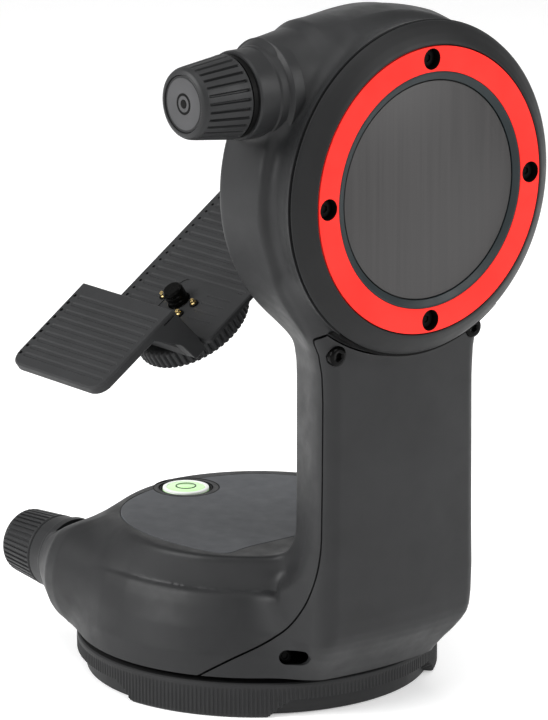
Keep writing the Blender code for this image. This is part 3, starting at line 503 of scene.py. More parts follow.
def turret_field(x, y, z, inset=0.0):
    """Negative inside the turret's outer surface, in mm; inset draws it in for the hollow."""
    ay = np.abs(y)
    r = np.hypot(x, y)
    angle = np.degrees(np.arctan2(y, x))

    # the skirt, the arm's lower blade and the azimuth knob's spout
    skirt = (r - table(z, SKIRT)) * 0.92
    reach = table(z, REACH)
    flank = table(z, FLANK)
    crown = 1.6 * np.clip(1 - (ay / 26.0) ** 2, 0, 1)
    outer = x - reach - crown
    slab_side = ay - flank
    facet = (x - reach) * 0.6 + (ay - flank + 2.6) * 0.8
    blade = smax(smax(smax(outer, slab_side, 1.2), facet, 1.6), 28.0 - x, 4.0)
    spout_r = np.hypot(y + AZIMUTH_OFFSET, z - AZIMUTH_DRIVE_Z)
    spout = np.maximum((spout_r - table(x, SPOUT_R)) * 0.9, np.maximum(-59.0 - x, x - 18.0))
    shell = smin(smin(skirt, blade, table(z, SKIRT_BLEND)), spout, 4.0)

    # the raised tier, and the ribbon it draws up each side of the arm
    lean = np.radians(table(angle, WALL_ANGLE))
    wall = (r - table(angle, RIM_R)) * np.sin(lean) - (DECK_Z - z) * np.cos(lean)
    tier = smax(wall, z - DECK_Z, 2.0)
    edge_x = table(z, RIBBON_X)
    start_x = np.minimum(ARM_FOOT_X, edge_x - 7.0)
    dx, dy = edge_x - start_x, ARM_HALF_Y - RIBBON_HALF_Y
    length = np.hypot(dx, dy)
    scale = flank / 28.0
    side = (-(x - start_x) * dy + (ay / np.maximum(scale, 1.0) - RIBBON_HALF_Y) * dx) / length
    wedge = smax(side, ARM_FOOT_X - x, 2.5)
    ribbon = np.minimum(smin(tier, wedge, 11.0), z - CREASE_Z)
    lower = smax(shell, ribbon, 2.2)
    lower = smax(lower, z - 132.0, 4.0)

    # the head's drum, and the tilt knob's boss that runs over it
    rt = np.hypot(y, z - TILT_Z)
    head = smax(rt - table(x, HEAD_R), HEAD_BACK_X - x, 2.6)
    head = np.maximum(head, x - (HEAD_FRONT_X + 2.0 if inset else HEAD_FRONT_X))
    half_x, half_z = table(y, BOSS_HALF_X), table(y, BOSS_HALF_Z)
    u, v = (x - TILT_DRIVE_X) / half_x, (z - TILT_Z - TILT_OFFSET) / half_z
    boss = (np.hypot(u, v) - 1.0) * np.minimum(half_x, half_z)
    turn = np.degrees(np.arctan2(-y, z - TILT_Z))
    brim = 71.0 - np.clip((turn - 42.0) * 0.36, 0, 10) - np.clip((24.0 - turn) * 0.5, 0, 10)
    boss = smax(boss, (rt - 46.9 - (brim - x) * 1.1) * 0.67, 2.0)
    boss = np.maximum(boss, np.maximum(-53.0 - y, y - 34.0))
    upper = smin(head, boss, 3.5)
    shape = smin(lower, upper, 5.0)
    if inset:
        shape = smax(shape + inset, np.maximum(-38.0 - x, -34.0 - y), 1.0)
        return np.maximum(shape, FLOOR_Z - 1.0 - z)
    return np.maximum(shape, FLOOR_Z - z)


def surface(field, low, high, step):
    """Surface nets over a field, then each point is drawn onto the field's zero."""
    axes = [np.arange(low[i], high[i] + step, step, dtype=np.float32) for i in range(3)]
    value = field(axes[0][:, None, None], axes[1][None, :, None], axes[2][None, None, :])
    value = np.broadcast_to(value, [len(a) for a in axes]).astype(np.float32)
    inside = value < 0
    nx, ny, nz = inside.shape
    corners = [np.array((i, j, k)) for i in (0, 1) for j in (0, 1) for k in (0, 1)]
    count = np.zeros((nx - 1, ny - 1, nz - 1), np.int8)
    for i, j, k in corners:
        count += inside[i:nx - 1 + i, j:ny - 1 + j, k:nz - 1 + k]
    active = (count > 0) & (count < 8)
    cells = np.argwhere(active)
    index = np.full(active.shape, -1, np.int64)
    index[active] = np.arange(len(cells))
    total, hits = np.zeros((len(cells), 3)), np.zeros(len(cells))
    for a, first in enumerate(corners):
        for second in corners[a + 1:]:
            if np.abs(second - first).sum() != 1:
                continue
            va = value[tuple((cells + first).T)]
            vb = value[tuple((cells + second).T)]
            crossed = (va < 0) != (vb < 0)
            t = va[crossed] / (va[crossed] - vb[crossed])
            total[crossed] += first + t[:, None] * (second - first)
            hits[crossed] += 1
    verts = (cells + total / hits[:, None]) * step + np.array([a[0] for a in axes])
    faces = []
    for d in range(3):
        e, g = (d + 1) % 3, (d + 2) % 3
        here = [slice(None)] * 3
        there = [slice(None)] * 3
        here[d], there[d] = slice(0, -1), slice(1, None)
        change = inside[tuple(here)] != inside[tuple(there)]
        spots = np.argwhere(change)
        spots = spots[(spots[:, e] > 0) & (spots[:, g] > 0)]
        spots = spots[(spots[:, e] < value.shape[e] - 1) & (spots[:, g] < value.shape[g] - 1)]
        step_e, step_g = np.eye(3, dtype=int)[e], np.eye(3, dtype=int)[g]
        quad = [index[tuple((spots - m).T)] for m in (step_e + step_g, step_g, 0, step_e)]
        quad = np.stack(quad, 1)
        flip = ~inside[tuple(spots.T)]
        quad[flip] = quad[flip][:, ::-1]
        faces.append(quad)
    points = verts.astype(np.float32)
    for _ in range(3):
        f = field(*points.T)
        nudges = np.eye(3, dtype=np.float32) * 0.04
        slope = np.stack([field(*(points + d).T) - field(*(points - d).T) for d in nudges], 1) / 0.08
        size = np.maximum((slope ** 2).sum(1), 0.3)
        points -= np.clip(f / size, -0.4, 0.4)[:, None] * slope
    return points, np.vstack(faces).tolist()


FINE_STEP = 0.8
LOW, HIGH = (-61.5, -57, 8), (77, 57, 206)
turret = piece("turret_shell", *surface(turret_field, LOW, HIGH, FINE_STEP), BODY, merge=0)


def hollow_field(x, y, z):
    return turret_field(x, y, z, WALL)


hollow = piece("hollow", *surface(hollow_field, (-50, -57, 7), (78, 57, 206), 1.8), None, merge=0)
cut(turret, slab(circle(0, 0, 90), 0, 12))
HEAD_END, TILT_COLLAR_END, AZIMUTH_COLLAR_END = 71.0, 50.3, 56.3
for place, end in ((HEAD, HEAD_END), (TILT_KNOB, TILT_COLLAR_END), (AZIMUTH_KNOB, AZIMUTH_COLLAR_END)):
    cut(turret, rod(62, end, end + 24, 96), place=place)

tilt_collar = soft([(14.6, 37), (14.6, 40.4), (13.0, 41.0), (12.7, 43.2), (12.3, 43.6), (12.3, 49.6),
                    (12.0, TILT_COLLAR_END)], 0.25)
azimuth_collar = soft([(11.9, 48), (11.9, 50.6), (11.1, 51.2), (11.0, 55.9), (10.7, AZIMUTH_COLLAR_END)],
                      0.25)
apply(turret, "UNION", tool(lathe([(0, 37)] + tilt_collar + [(0, TILT_COLLAR_END)], 128), TILT_KNOB))
apply(turret, "UNION", tool(lathe([(0, 48)] + azimuth_collar + [(0, AZIMUTH_COLLAR_END)], 128), AZIMUTH_KNOB))

# The arm's cover: its parting line in x and height, and the clearance round the head.
PARTING = ((62, 113.4), (62, 54), (60.8, 46), (57.5, 38.5), (52, 31.5), (45.5, 25.5), (38, 19.5),
           (26.5, 10.8), (20, 6))
CAP_CLEAR = 47.4
COVER_GAP = 0.5


def cover_region(gap):
    """The room the arm's cover fills: outside the parting line and clear of the head, shrunk by gap."""
    line = soft([(x + gap, z - gap * 0.7) for x, z in PARTING], 9.0, steps=5)
    shoulder = soft([(66.5, 117.2 - gap), (64.6 + gap, 116.2 - gap), (62.3 + gap, 115.2 - gap),
                     (62 + gap, 113.4)], 1.5)[:-1]
    outline = [(90, 6), (90, 119), (67.5, 117.6)] + shoulder + line
    room = tool(slab(outline, -80, 80, axis="Y"))
    apply(room, "DIFFERENCE", tool(rod(CAP_CLEAR + gap, 50, 95, 220), HEAD))
    return room


cover = copy_of(turret, "arm_cover_shell")
apply(cover, "INTERSECT", cover_region(COVER_GAP))
apply(turret, "DIFFERENCE", cover_region(0.0))
apply(cover, "DIFFERENCE", copy_of(hollow))
apply(turret, "DIFFERENCE", hollow)

# One half of the deck panel's outline; the other half is its mirror.
PANEL_EDGE = ((25.2, -6), (24.6, -24.3), (26.6, -32.2), (19.3, -35.2), (9, -37.4), (-5, -38.2),
              (-20.3, -34.6), (-31.5, -26.0), (-37.6, -13))


def panel_outline(grow=0.0):
    half = [(x * (1 + grow / 38), y * (1 + grow / 38)) for x, y in PANEL_EDGE]
    return soft(half + [(-39.2 - grow, 0)] + [(x, -y) for x, y in reversed(half)], 7.0, closed=True, steps=6)


SEAT_X = -33.2
seat = tool(slab(panel_outline(0.22), DECK_Z - 1.3, DECK_Z + 6))
apply(seat, "DIFFERENCE", tool(shift(rod(9.9, 30, 60, 96), SEAT_X)))
apply(turret, "DIFFERENCE", seat)
cut(turret, slab(circle(4, 0, 24.0, steps=96), 39, DECK_Z - 0.9), shift(rod(8.2, 38, 52, 96), VIAL_X))
cut(turret, rod(12.6, 30, 60, 96), place=HEAD)
for place in (TILT_KNOB, AZIMUTH_KNOB):
    cut(turret, rod(6.3, 20, 60, 48), place=place)
cut(turret, rod(45.2, 69.9, 80, 200), place=HEAD)

SCREWS = []
for i, side in enumerate((-1, 1)):
    SCREWS.append((f"arm_screw_{i + 1}", Matrix.Translation((64.6, side * 24.9, 109.9)) @ ALONG_X))
for i, side in enumerate((-1, 1)):
    SCREWS.append((f"arm_screw_{i + 3}", Matrix.Rotation(side * math.radians(30.3), 4, "Z")
                   @ Matrix.Translation((49.0, 0, 17.4)) @ Matrix.Rotation(math.radians(78), 4, "Y")))


def screw(head_r, head_h, shank_r, length, steps=48):
    """A cap screw with a hexagon socket: head underside at z = 0, shank pointing down."""
    body = lathe(soft([(0, -length), (shank_r, -length), (shank_r, 0), (head_r, 0), (head_r, head_h * 0.86),
                       (head_r * 0.72, head_h), (0, head_h)], 0.28), steps)
    return body, slab(circle(0, 0, head_r * 0.46, steps=6), head_h * 0.4, head_h + 1)


for i, (name, spot) in enumerate(SCREWS):
    place = REST @ spot
    at_foot = i > 1
    body, socket = screw(1.95 if at_foot else 2.8, 1.9, 1.4, 5.0)
    made = piece(name + "_visual", *body, INK, place)
    cut(made, socket, place=place)
    show(made, "turret", "black_steel", name)
    if at_foot:
        start, end = sorted((0.0, -3.3 if i == 3 else 3.3))
        well = slab(circle(0, end, 2.2, 0, 180, 16) + circle(0, start, 2.2, 180, 360, 16), -0.4, 14)
        cut(turret, well, place=place)
    else:
        well = lathe([(0, -0.4), (2.9, -0.4), (2.9, 3.0), (3.3, 14), (0, 14)], 48)
    cut(cover, well, place=place)

for made, name in ((turret, "turret_housing"), (cover, "arm_cover")):
    made.data.materials.clear()
    made.data.materials.append(BODY)
    made.data.polygons.foreach_set("material_index", [0] * len(made.data.polygons))
    finish_off(made.data, 32.0)
    show(made, "turret", "body_plastic", name)


# ---------------------------------------------------------------- base

FEET = [math.radians(-59 + 120 * i) for i in range(3)]
BETWEEN_FEET = [FEET[0] + (i + 0.5) * 2 * math.pi / 3 for i in range(3)]
PLATE_SCREWS = [(36 * math.cos(a), 36 * math.sin(a)) for a in BETWEEN_FEET]
RIBS = 264


def foot_share(a, z):
    """1 where a foot reaches down, 0 on the recessed stretches, with slanted ends."""
    share = np.zeros_like(a)
    for middle in FEET:
        off = np.abs((a - middle + math.pi) % (2 * math.pi) - math.pi)
        half = math.radians(23.25) + math.radians(7.0) * np.clip(z / 4.8, 0, 1)
        share = np.maximum(share, np.clip((half - off) / math.radians(0.35) + 0.5, 0, 1))
    return share


def knurl(a, r, z):
    """Fine ribs round the ring's edge, and the edge drawn in between the feet."""
    share = foot_share(a, z)
    ribbed = np.clip((8.9 - z) / 0.5, 0, 1) * np.clip((z - 0.5) / 0.5, 0, 1) * (r > 52.0)
    recessed = (1 - share) * np.clip((5.2 - z) / 0.5, 0, 1)
    wave = np.clip(np.cos(a * RIBS) * 1.5, -1, 1)
    out = r - 0.15 * ribbed * (1 - wave)
    return np.where(r > 49, out * (1 - recessed) + np.minimum(out, 50.2) * recessed, out)


base_profile = [(47, 0.0), (52.2, 0.0), (52.8, 0.5)]
base_profile += [(53, z) for z in (1.0, 2.0, 3.2, 4.2, 4.7, 5.2, 5.7, 7.2, 8.4, 8.9, 9.3)]
base_profile += [(52.85, 9.85), (52.4, 10.2), (30, 10.2), (8.3, 10.2)]
base_profile += [(8.3, 7.2), (30, 7.2), (47, 7.2), (47, 3)]
verts, faces = lathe(base_profile, RIBS * 6, knurl, loop=True)
verts = np.array(verts)
around = np.arctan2(verts[:, 1], verts[:, 0])
low = (verts[:, 2] < 0.6) & (np.hypot(verts[:, 0], verts[:, 1]) > 46.5)
verts[:, 2] += np.where(low, 0.4 * (1 - foot_share(around, np.zeros_like(around))) * (verts[:, 2] < 0.3), 0)
base = piece("base_ring_knurled", verts, faces, BASE)
for x, y in PLATE_SCREWS:
    apply(base, "UNION", tool(shift(rod(3.6, 3.2, 8.2, 48), x, y)))
    cut(base, shift(rod(1.8, -1, 9, 32), x, y))
finish_off(base.data, 30)
show(base, "base", "base_plastic", "base_ring")

plate_profile = soft([(10.8, 0.9), (46.7, 0.9), (46.7, 2.9), (10.8, 2.9)], 0.3, True)
plate = piece("base_plate_turned", *lathe(plate_profile, loop=True), BLACK)
for i, (x, y) in enumerate(PLATE_SCREWS):
    cut(plate, shift(lathe([(0, -1), (3.1, -1), (3.1, 2), (1.8, 2), (1.8, 9), (0, 9)], 48), x, y))
    body, socket = screw(2.8, 0.9, 1.5, 6.3)
    place = REST @ Matrix.Translation((x, y, 1.7)) @ UPSIDE_DOWN
    made = piece(f"base_screw_{i + 1}_turned", *body, STEEL, place)
    cut(made, socket, place=place)
    finish_off(made.data)
    show(made, "base", "steel", f"base_screw_{i + 1}")
finish_off(plate.data)
show(plate, "base", "black_plastic", "base_plate")
socket_r = 6.35 / 2
bush_profile = soft([(socket_r, 8), (socket_r, 0.5), (3.7, 0), (10.5, 0), (10.5, 3), (6.5, 3), (6.5, 11.5)],
                    0.25)
bush = piece("tripod_bush_turned", *lathe([(0, 8)] + bush_profile + [(0, 11.5)], 120), BRASS)
show(bush, "base", "brass", "tripod_bush")

# ---------------------------------------------------------------- head


def turned(name, profile, finish, place, body, slot, *nodes, columns=220, loop=False):
    """A lathed piece, shown at once."""
    return show(piece(name, *lathe(profile, columns, loop=loop), finish, place), body, slot, *nodes)


RING_TOP = 76.04
RING_SEAT = 74.3
RING_SCREW_R = 36.67

cap_back = soft([(15, 61.2), (15, 71.0), (43.8, 69.6), (43.8, 62.5), (44.9, 62.5), (44.9, 71.35)], 0.2)
cap_front = soft([(46.2, 71.35), (46.6, 71.9), (45.6, 72.9), (43.4, 74.5), (41.4, 75.7), (40.35, RING_TOP),
                  (40.35, 74.2)], 0.5)
cap_profile = [(12.6, 61.2)] + cap_back + cap_front + [(0.01, 74.2), (0.01, 71.6), (12.6, 71.6)]
cap = piece("head_cap_domed", *lathe(cap_profile, 240, loop=True), DARK, HEAD)
red_profile = soft([(33.1, RING_SEAT), (40.05, RING_SEAT), (40.05, RING_TOP), (33.1, RING_TOP)], 0.1, True)
red = piece("red_ring_turned", *lathe(red_profile, 240, loop=True), RED, HEAD)
for i in range(4):
    a = i * math.pi / 2
    x, y = RING_SCREW_R * math.cos(a), RING_SCREW_R * math.sin(a)
    cut(red, shift(rod(3, 70, 80, 64), x, y), place=HEAD)
    pocket = lathe([(0, 60), (1.4, 60), (1.4, 73), (2.95, 73), (2.95, 78), (0, 78)], 64)
    cut(cap, shift(pocket, x, y), place=HEAD)
    body, socket = screw(2.6, 0.8, 1.1, 5.0)
    place = HEAD @ Matrix.Translation((x, y, 73.2))
    made = piece(f"ring_screw_{i + 1}_turned", *body, BLACK, place)
    # Black sleeves line each screw hole: painted shade on the hole walls.
    collar = lathe([(2.94, 73.05), (3.0, 73.05), (3.0, 75.9), (2.94, 75.9)], 64, loop=True)
    show(piece(f"ring_hole_painted_shade_{i + 1}", *shift(collar, x, y), BLACK, HEAD), "turret", "black_plastic")
    cut(made, socket, place=place)
    finish_off(made.data)
    show(made, "turret", "black_steel", f"ring_screw_{i + 1}")
for made, slot_name, node in ((cap, "black_plastic", "head_cap"), (red, "signal_red", "red_ring")):
    finish_off(made.data)
    show(made, "turret", slot_name, node)
inner_profile = [(30.75, RING_SEAT), (33.0, RING_SEAT), (33.0, 75.95), (32.5, 75.95), (30.75, 75.2)]
turned("inner_ring_turned", soft(inner_profile, 0.1, True), TRIM, HEAD, "turret", "deck_plastic",
       "inner_ring", loop=True)
plate_edge = soft([(30.4, RING_SEAT), (30.4, 75.05), (30.2, 75.15)], 0.1)
turned("centre_plate_brushed", [(0, RING_SEAT)] + plate_edge + [(0, 75.15)], PLATE, HEAD, "turret",
       "brushed_face", "centre_plate")

# ---------------------------------------------------------------- knobs


def smooth(t):
    """Eases from 0 to 1 as t does."""
    t = np.clip(t, 0, 1)
    return t * t * (3 - 2 * t)


def knob(name, place, profile, flutes, depth, land, span, body, cad):
    """A fluted grip: land is the share of each pitch left standing; flutes fade at the ends of span."""
    def shape(a, r, z):
        phase = (a * flutes / (2 * math.pi)) % 1.0
        off = np.abs(phase - 0.5)
        groove = smooth((0.5 - land / 2 - np.abs(off)) / 0.09 + 0.5)
        fade = smooth((z - span[0]) / 0.5) * smooth((span[1] - z) / 0.8)
        return r - depth * groove * fade * (r > profile[0][0] + 0.5)
    made = piece(name, *lathe(profile, flutes * 16, shape, loop=True), BODY, place)
    finish_off(made.data, 40)
    return show(made, body, "body_plastic", cad)


tilt_foot = soft([(11.3, 52.3), (11.66, 52.7), (11.6, 53.1)], 0.2)
tilt_grip = [(11.66 - (z - 52.3) * 0.125, z) for z in (53.4, 54, 55, 57, 60, 62, 63.2, 63.8, 64.4)]
tilt_end = soft([(10.05, 65.0), (9.85, 66.2), (9.3, 67.2), (8.5, 67.6), (8.05, 67.7), (7.85, 67.5),
                 (7.8, 66.4), (2.9, 66.4)], 0.3)
knob("tilt_knob_fluted", TILT_KNOB, [(2.9, 52.3)] + tilt_foot + tilt_grip + tilt_end, 28, 0.85, 0.72,
     (53.0, 66.0), "tilt_fine_knob", "tilt_knob")
azimuth_foot = soft([(10.5, 56.6), (10.95, 57.0), (10.95, 57.4)], 0.2)
azimuth_grip = [(10.95 - (z - 57) * 0.085, z) for z in (57.9, 58.5, 60, 63, 66, 69, 69.8, 70.4)]
azimuth_end = soft([(9.75, 70.8), (9.5, 71.3), (8.9, 71.6), (7.7, 71.6), (7.55, 71.5), (7.5, 70.2),
                    (2.9, 70.2)], 0.25)
knob("azimuth_knob_fluted", AZIMUTH_KNOB, [(2.9, 56.6)] + azimuth_foot + azimuth_grip + azimuth_end, 42, 0.5,
     0.55, (57.2, 71.2), "azimuth_fine_knob", "azimuth_knob")
for name, place, r, z, body, node in (
        ("tilt_knob_face", TILT_KNOB, 7.65, 67.3, "tilt_fine_knob", "tilt_knob_cap"),
        ("azimuth_knob_face", AZIMUTH_KNOB, 7.3, 71.1, "azimuth_fine_knob", "azimuth_knob_cap")):
    disc = soft([(r, z - 0.9), (r, z), (2.95, z), (2.8, z - 0.3), (2.45, z - 0.3), (2.3, z), (1.25, z),
                 (1.1, z - 0.75)], 0.12)
    turned(name, [(0, z - 0.9)] + disc + [(0, z - 0.75)], FACE, place, body, "knob_face", node, columns=120)
    # The edge ring stands a little proud so its rims take the cap finish's lighter edges, a painted highlight
    # round the face.
    for part, low, high in (("eye", 0.0, 1.2), ("line", 2.25, 2.9), ("edge", r - 0.55, r - 0.1)):
        profile = [(high, z - 0.8), (high, z + 0.03), (low, z + 0.03)]
        if low:
            profile.append((low, z - 0.8))
        turned(f"{name}_{part}", profile, DARK if part == "edge" else BLACK, place, body, "black_plastic",
               columns=96, loop=low > 0)
SEAM_OUTER, SEAM_INNER = 47.32, 45.5
arc = [math.radians(a) for a in np.linspace(-37.5, 37.5, 40)]
under = [(SEAM_OUTER * math.sin(a), TILT_Z - SEAM_OUTER * math.cos(a)) for a in arc]
under += [(SEAM_INNER * math.sin(a), TILT_Z - SEAM_INNER * math.cos(a)) for a in reversed(arc)]
show(piece("head_seam_shadow_gap", *slab(under, 66.0, 71.2, axis="X"), BLACK), "turret", "black_plastic")
# A black ring fills the gap between collar and knob: painted shadow standing in for the shade in that gap.
turned("tilt_knob_neck_painted_shadow", [(7, 50.0), (11.45, 50.0), (11.45, 52.1), (7, 52.1)], BLACK, TILT_KNOB, "turret",
       "black_plastic", columns=128, loop=True)

# ---------------------------------------------------------------- deck and vial

panel = piece("deck_panel_shaped", *slab(panel_outline(), DECK_Z - 1.2, DECK_Z + 0.05, 0.18), PANEL)
cut(panel, shift(rod(10.0, 40, 50, 128), SEAT_X))
finish_off(panel.data)
show(panel, "turret", "deck_plastic", "deck_panel")
VIAL = REST @ Matrix.Translation((VIAL_X, 0, -0.7))
rim = soft([(5.75, 45.3), (6.9, 45.3), (6.9, 45.85), (6.6, 46.02), (5.9, 46.05), (5.75, 45.95)], 0.1, True)
turned("vial_rim_white", rim, WHITE, VIAL, "turret", "vial_white", loop=True, columns=128)
mark = [(2.75, 46.0), (3.05, 46.0), (3.05, 46.24), (2.75, 46.26)]
turned("vial_centre_mark", mark, TRIM, VIAL, "turret", "black_plastic", loop=True, columns=96)
seat_line = [(9.6, DECK_Z - 1.2), (9.92, DECK_Z - 1.2), (9.92, DECK_Z + 0.06), (9.6, DECK_Z + 0.06)]
turned("vial_seat_line", seat_line, BLACK, VIAL @ Matrix.Translation((0.2, 0, 0.7)), "turret",
       "black_plastic", loop=True, columns=128)
bezel = soft([(7.3, 44.1), (8.05, 44.1), (8.0, 45.4), (7.75, 45.55), (7.4, 45.5), (7.3, 45.3)], 0.12, True)
turned("vial_bezel_turned", bezel, BLACK, VIAL, "turret", "black_plastic", "vial_bezel", loop=True,
       columns=128)
cup = [(0, 39.6)] + soft([(7.9, 39.6), (7.9, 44.05), (7.3, 44.05), (7.25, 41)], 0.15) + [(0, 41)]
turned("vial_cup_turned", cup, WHITE, VIAL, "turret", "vial_white", "vial_cup", columns=128)
dome = soft([(6.95, 41.3), (6.95, 45.3), (6.4, 45.75), (6.2, 45.75), (6.1, 45.68), (5.4, 45.95), (3.2, 46.15),
             (3.05, 46.06), (2.85, 46.17)], 0.12)
turned("vial_glass_domed", [(0, 41.3)] + dome + [(0, 46.25)], VIAL_FINISH, VIAL, "turret", "vial_green",
       "vial_glass", columns=128)

# ---------------------------------------------------------------- cradle


def groove(x0, x1, s, width, top, depth):
    """A round-ended slot along x, with leaning walls."""
    r = width / 2
    outline = np.array(circle(x1 - r, s, r, -90, 90, 9) + circle(x0 + r, s, r, 90, 270, 9))
    centre = np.stack([np.clip(outline[:, 0], x0 + r, x1 - r), np.full(len(outline), s)], 1)
    count = len(outline)
    verts = []
    for z, share in ((top - depth, 0.45), (top - depth * 0.35, 0.8), (top + 0.02, 1.0), (top + 1, 1.0)):
        flat = centre + (outline - centre) * share
        verts.append(np.hstack([flat, np.full((count, 1), z)]))
    faces = [tuple(range(count))[::-1], tuple(3 * count + j for j in range(count))]
    for i in range(3):
        faces += [(i * count + j, i * count + (j + 1) % count, (i + 1) * count + (j + 1) % count,
                   (i + 1) * count + j) for j in range(count)]
    return np.vstack(verts), faces


def rows(first, last):
    """The ribs' centre lines from one place along a plate to another."""
    s = first
    while s > last:
        yield s
        s -= 2.95


PLATE_TOP, PLATE_LOW = -17.7, -21.7
plate_slab = slab(rounded(-23, 23.5, -57, 50, 1.6), PLATE_LOW, PLATE_TOP, 0.35)
cradle = piece("cradle_plate_ribbed", *plate_slab, CRADLE, TILT)
hinge_tongue = slab(rounded(-16.2, 16.2, -61.5, -55, 0.8), PLATE_LOW, PLATE_TOP - 0.8, 0.3)
apply(cradle, "UNION", tool(hinge_tongue, TILT))
skin = PLATE_TOP - 1.5
for x0, x1, s0, s1 in ((18.2, 30, -70, 60), (-30, -18.2, -70, 60), (-25, 25, -54.8, -27)):
    cut(cradle, slab([(x0, s0), (x1, s0), (x1, s1), (x0, s1)], PLATE_LOW - 1, skin), place=TILT)
slots = [groove(-19.4, 21.2 if s > -40 else -7.5, s, 1.7, PLATE_TOP, 0.28) for s in rows(47.4, -56)]
dots = [shift(rod(0.5, PLATE_TOP - 0.9, 0, 20), -20.6, s) for s in rows(47.4, -56)]
cut(cradle, join(*slots), join(*dots), place=TILT)
cut(cradle, slab(rounded(-5.5, 20.4, -55.4, -38.6, 3.0), PLATE_TOP - 0.22, PLATE_TOP + 1), place=TILT)
fine = [groove(8.4, 18.6, s, 1.0, PLATE_TOP - 0.2, 0.22) for s in rows(-42.3, -54)]
cut(cradle, join(*fine), place=TILT)
PINS = ((6.5, -46.4), (4.7, -51.2), (-6.7, -47.0))
holes = [shift(rod(3.5, -24, -15, 40), *STUD)] + [shift(rod(1.35, -24, -15, 40), x, s) for x, s in PINS]
cut(cradle, join(*holes), place=TILT)
cut(cradle, spin(rod(1.05, -30, 30, 32), ALONG_X), place=TILT @ Matrix.Translation(SHELF_HINGE))
BRACKET_SCREWS = (-12, 12)
for x in BRACKET_SCREWS:
    cut(cradle, shift(rod(1.9, -32, -19.1, 40), x), place=TILT)
finish_off(cradle.data, 30)
show(cradle, "cradle", "cradle_plastic", "cradle_plate")

for i, (x, s) in enumerate(PINS):
    place = TILT @ Matrix.Translation((x, s, 0))
    tip = soft([(0.9, -20.4), (0.9, -17.3), (0.72, -16.9), (0.66, -16.3), (0.4, -16.0)], 0.12)
    pin = piece(f"contact_tip_{i + 1}", *lathe([(0, -20.4)] + tip + [(0, -15.95)], 40), GOLD, place)
    if i < 2:
        show(pin, f"contact_{i + 1}", "gold_contact", f"contact_pin_{i + 1}")
    else:
        show(pin, "cradle", "gold_contact")
    collar = soft([(0.98, -19), (1.35, -19), (1.35, -17.4), (0.98, -17.4)], 0.08, True)
    turned(f"contact_collar_{i + 1}", collar, BLACK, place, "cradle", "black_plastic", columns=40, loop=True)

stud = soft([(2.6, -27.6), (2.6, -21.6), (3.07, -21.6), (3.07, -18.2), (2.85, -17.9), (3.07, -17.6),
             (3.07, -16.6), (2.85, -16.3), (3.07, -16.0), (3.07, -15.0), (2.85, -14.7), (3.07, -14.4),
             (3.0, -13.5), (2.5, -13.0)], 0.1)
turned("clamp_stud_turned", [(0, -27.6)] + stud + [(0, -13.0)], INK, CLAMP, "clamp", "black_steel",
       "clamp_stud", columns=80)

RIDGES = 56


def wheel_shape(a, r, z):
    """Ribs round the clamp wheel's rim."""
    phase = np.abs((a * RIDGES / (2 * math.pi)) % 1.0 - 0.5)
    return r - 0.7 * smooth((0.2 - phase) / 0.2 + 0.5) * (r > 16.9)


wheel_low = soft([(15.8, -28.0), (16.4, -28.0), (17.3, -27.8), (17.8, -27.2)], 0.2)
wheel_high = soft([(17.8, -22.8), (17.3, -22.2), (16.4, -22.0), (15.8, -22.0), (2.9, -22.0)], 0.2)
wheel_profile = [(2.9, -28.0)] + wheel_low + [(17.8, -26.6), (17.8, -23.4)] + wheel_high
wheel = piece("clamp_wheel_ribbed", *lathe(wheel_profile, RIDGES * 12, wheel_shape, loop=True), CRADLE, CLAMP)
finish_off(wheel.data, 40)
show(wheel, "clamp", "cradle_plastic", "clamp_wheel")

SHELF_TOP, SHELF_LOW = -3.9, -6.9
shelf_outline = (circle(16.2, -87.7, 4.5, 270, 360, 10) + [(20.7, -59.4)] + [(-20.7, -59.4)]
                 + circle(-16.2, -87.7, 4.5, 180, 270, 10))
shelf = piece("rest_shelf_ribbed", *slab(shelf_outline, SHELF_LOW, SHELF_TOP, 0.5), CRADLE, TILT)
leg = soft([(-61.6, -21.4), (-57.5, -21.4), (-57.3, -17.7), (-59.4, -4.6), (-69.8, -6.2), (-63.1, -14.5)],
           0.9, True)
for x0, x1 in ((-20.7, -16.5), (16.5, 20.7)):
    apply(shelf, "UNION", tool(slab(leg, x0, x1, 0.2, axis="X"), TILT))
slots = [groove(-17.8, 18.9, s, 1.7, SHELF_TOP, 0.28) for s in rows(-64.6, -89)]
dots = [shift(rod(0.6, SHELF_TOP - 0.9, 8, 20), -19.2, s) for s in rows(-64.6, -89)]
cut(shelf, join(*slots), join(*dots), place=TILT)
cut(shelf, spin(rod(1.05, -19.5, 19.5, 32), ALONG_X), place=TILT @ Matrix.Translation(SHELF_HINGE))
cut(shelf, slab(rounded(-64.4, -60.2, -5.6, -5.0, 0.25, 3), 20.3, 22, axis="X"), place=TILT)
finish_off(shelf.data, 30)
show(shelf, "shelf", "cradle_plastic", "rest_shelf")

turned("shelf_pin_turned", [(0, -19.2)] + soft([(0.75, -19.2), (0.75, 19.2)], 0.1) + [(0, 19.2)], STEEL,
       TILT @ Matrix.Translation(SHELF_HINGE) @ ALONG_X, "shelf", "steel", "shelf_pin", columns=40)

bracket_outline = soft([(-14, -26), (14, -26), (15, -22), (14.5, -8)] + circle(0, 0, 14.0, 0, 180, 40)
                       + [(-14.5, -8), (-15, -22)], 0.8, True)
bracket = piece("cradle_bracket_formed", *slab(bracket_outline, 26.0, 32.5, 0.6, axis="X"), BODY, TILT)
apply(bracket, "UNION", tool(slab(rounded(-19, 27, -14, 14, 2.5), -26, -22, 0.5), TILT))
BORE = TILT @ ALONG_X
neck = soft([(14.4, 31), (13.4, 33.5), (13.0, 35), (13, 43.2)], 0.8)
apply(bracket, "UNION", tool(lathe([(0, 31)] + neck + [(0, 43.2)], 128), BORE))
cut(bracket, rod(5.3, 33, 50, 80), place=BORE)
for x in BRACKET_SCREWS:
    cut(bracket, shift(rod(1.9, -35, -19, 40), x), place=TILT)
finish_off(bracket.data, 30)
show(bracket, "cradle", "body_plastic", "cradle_bracket")
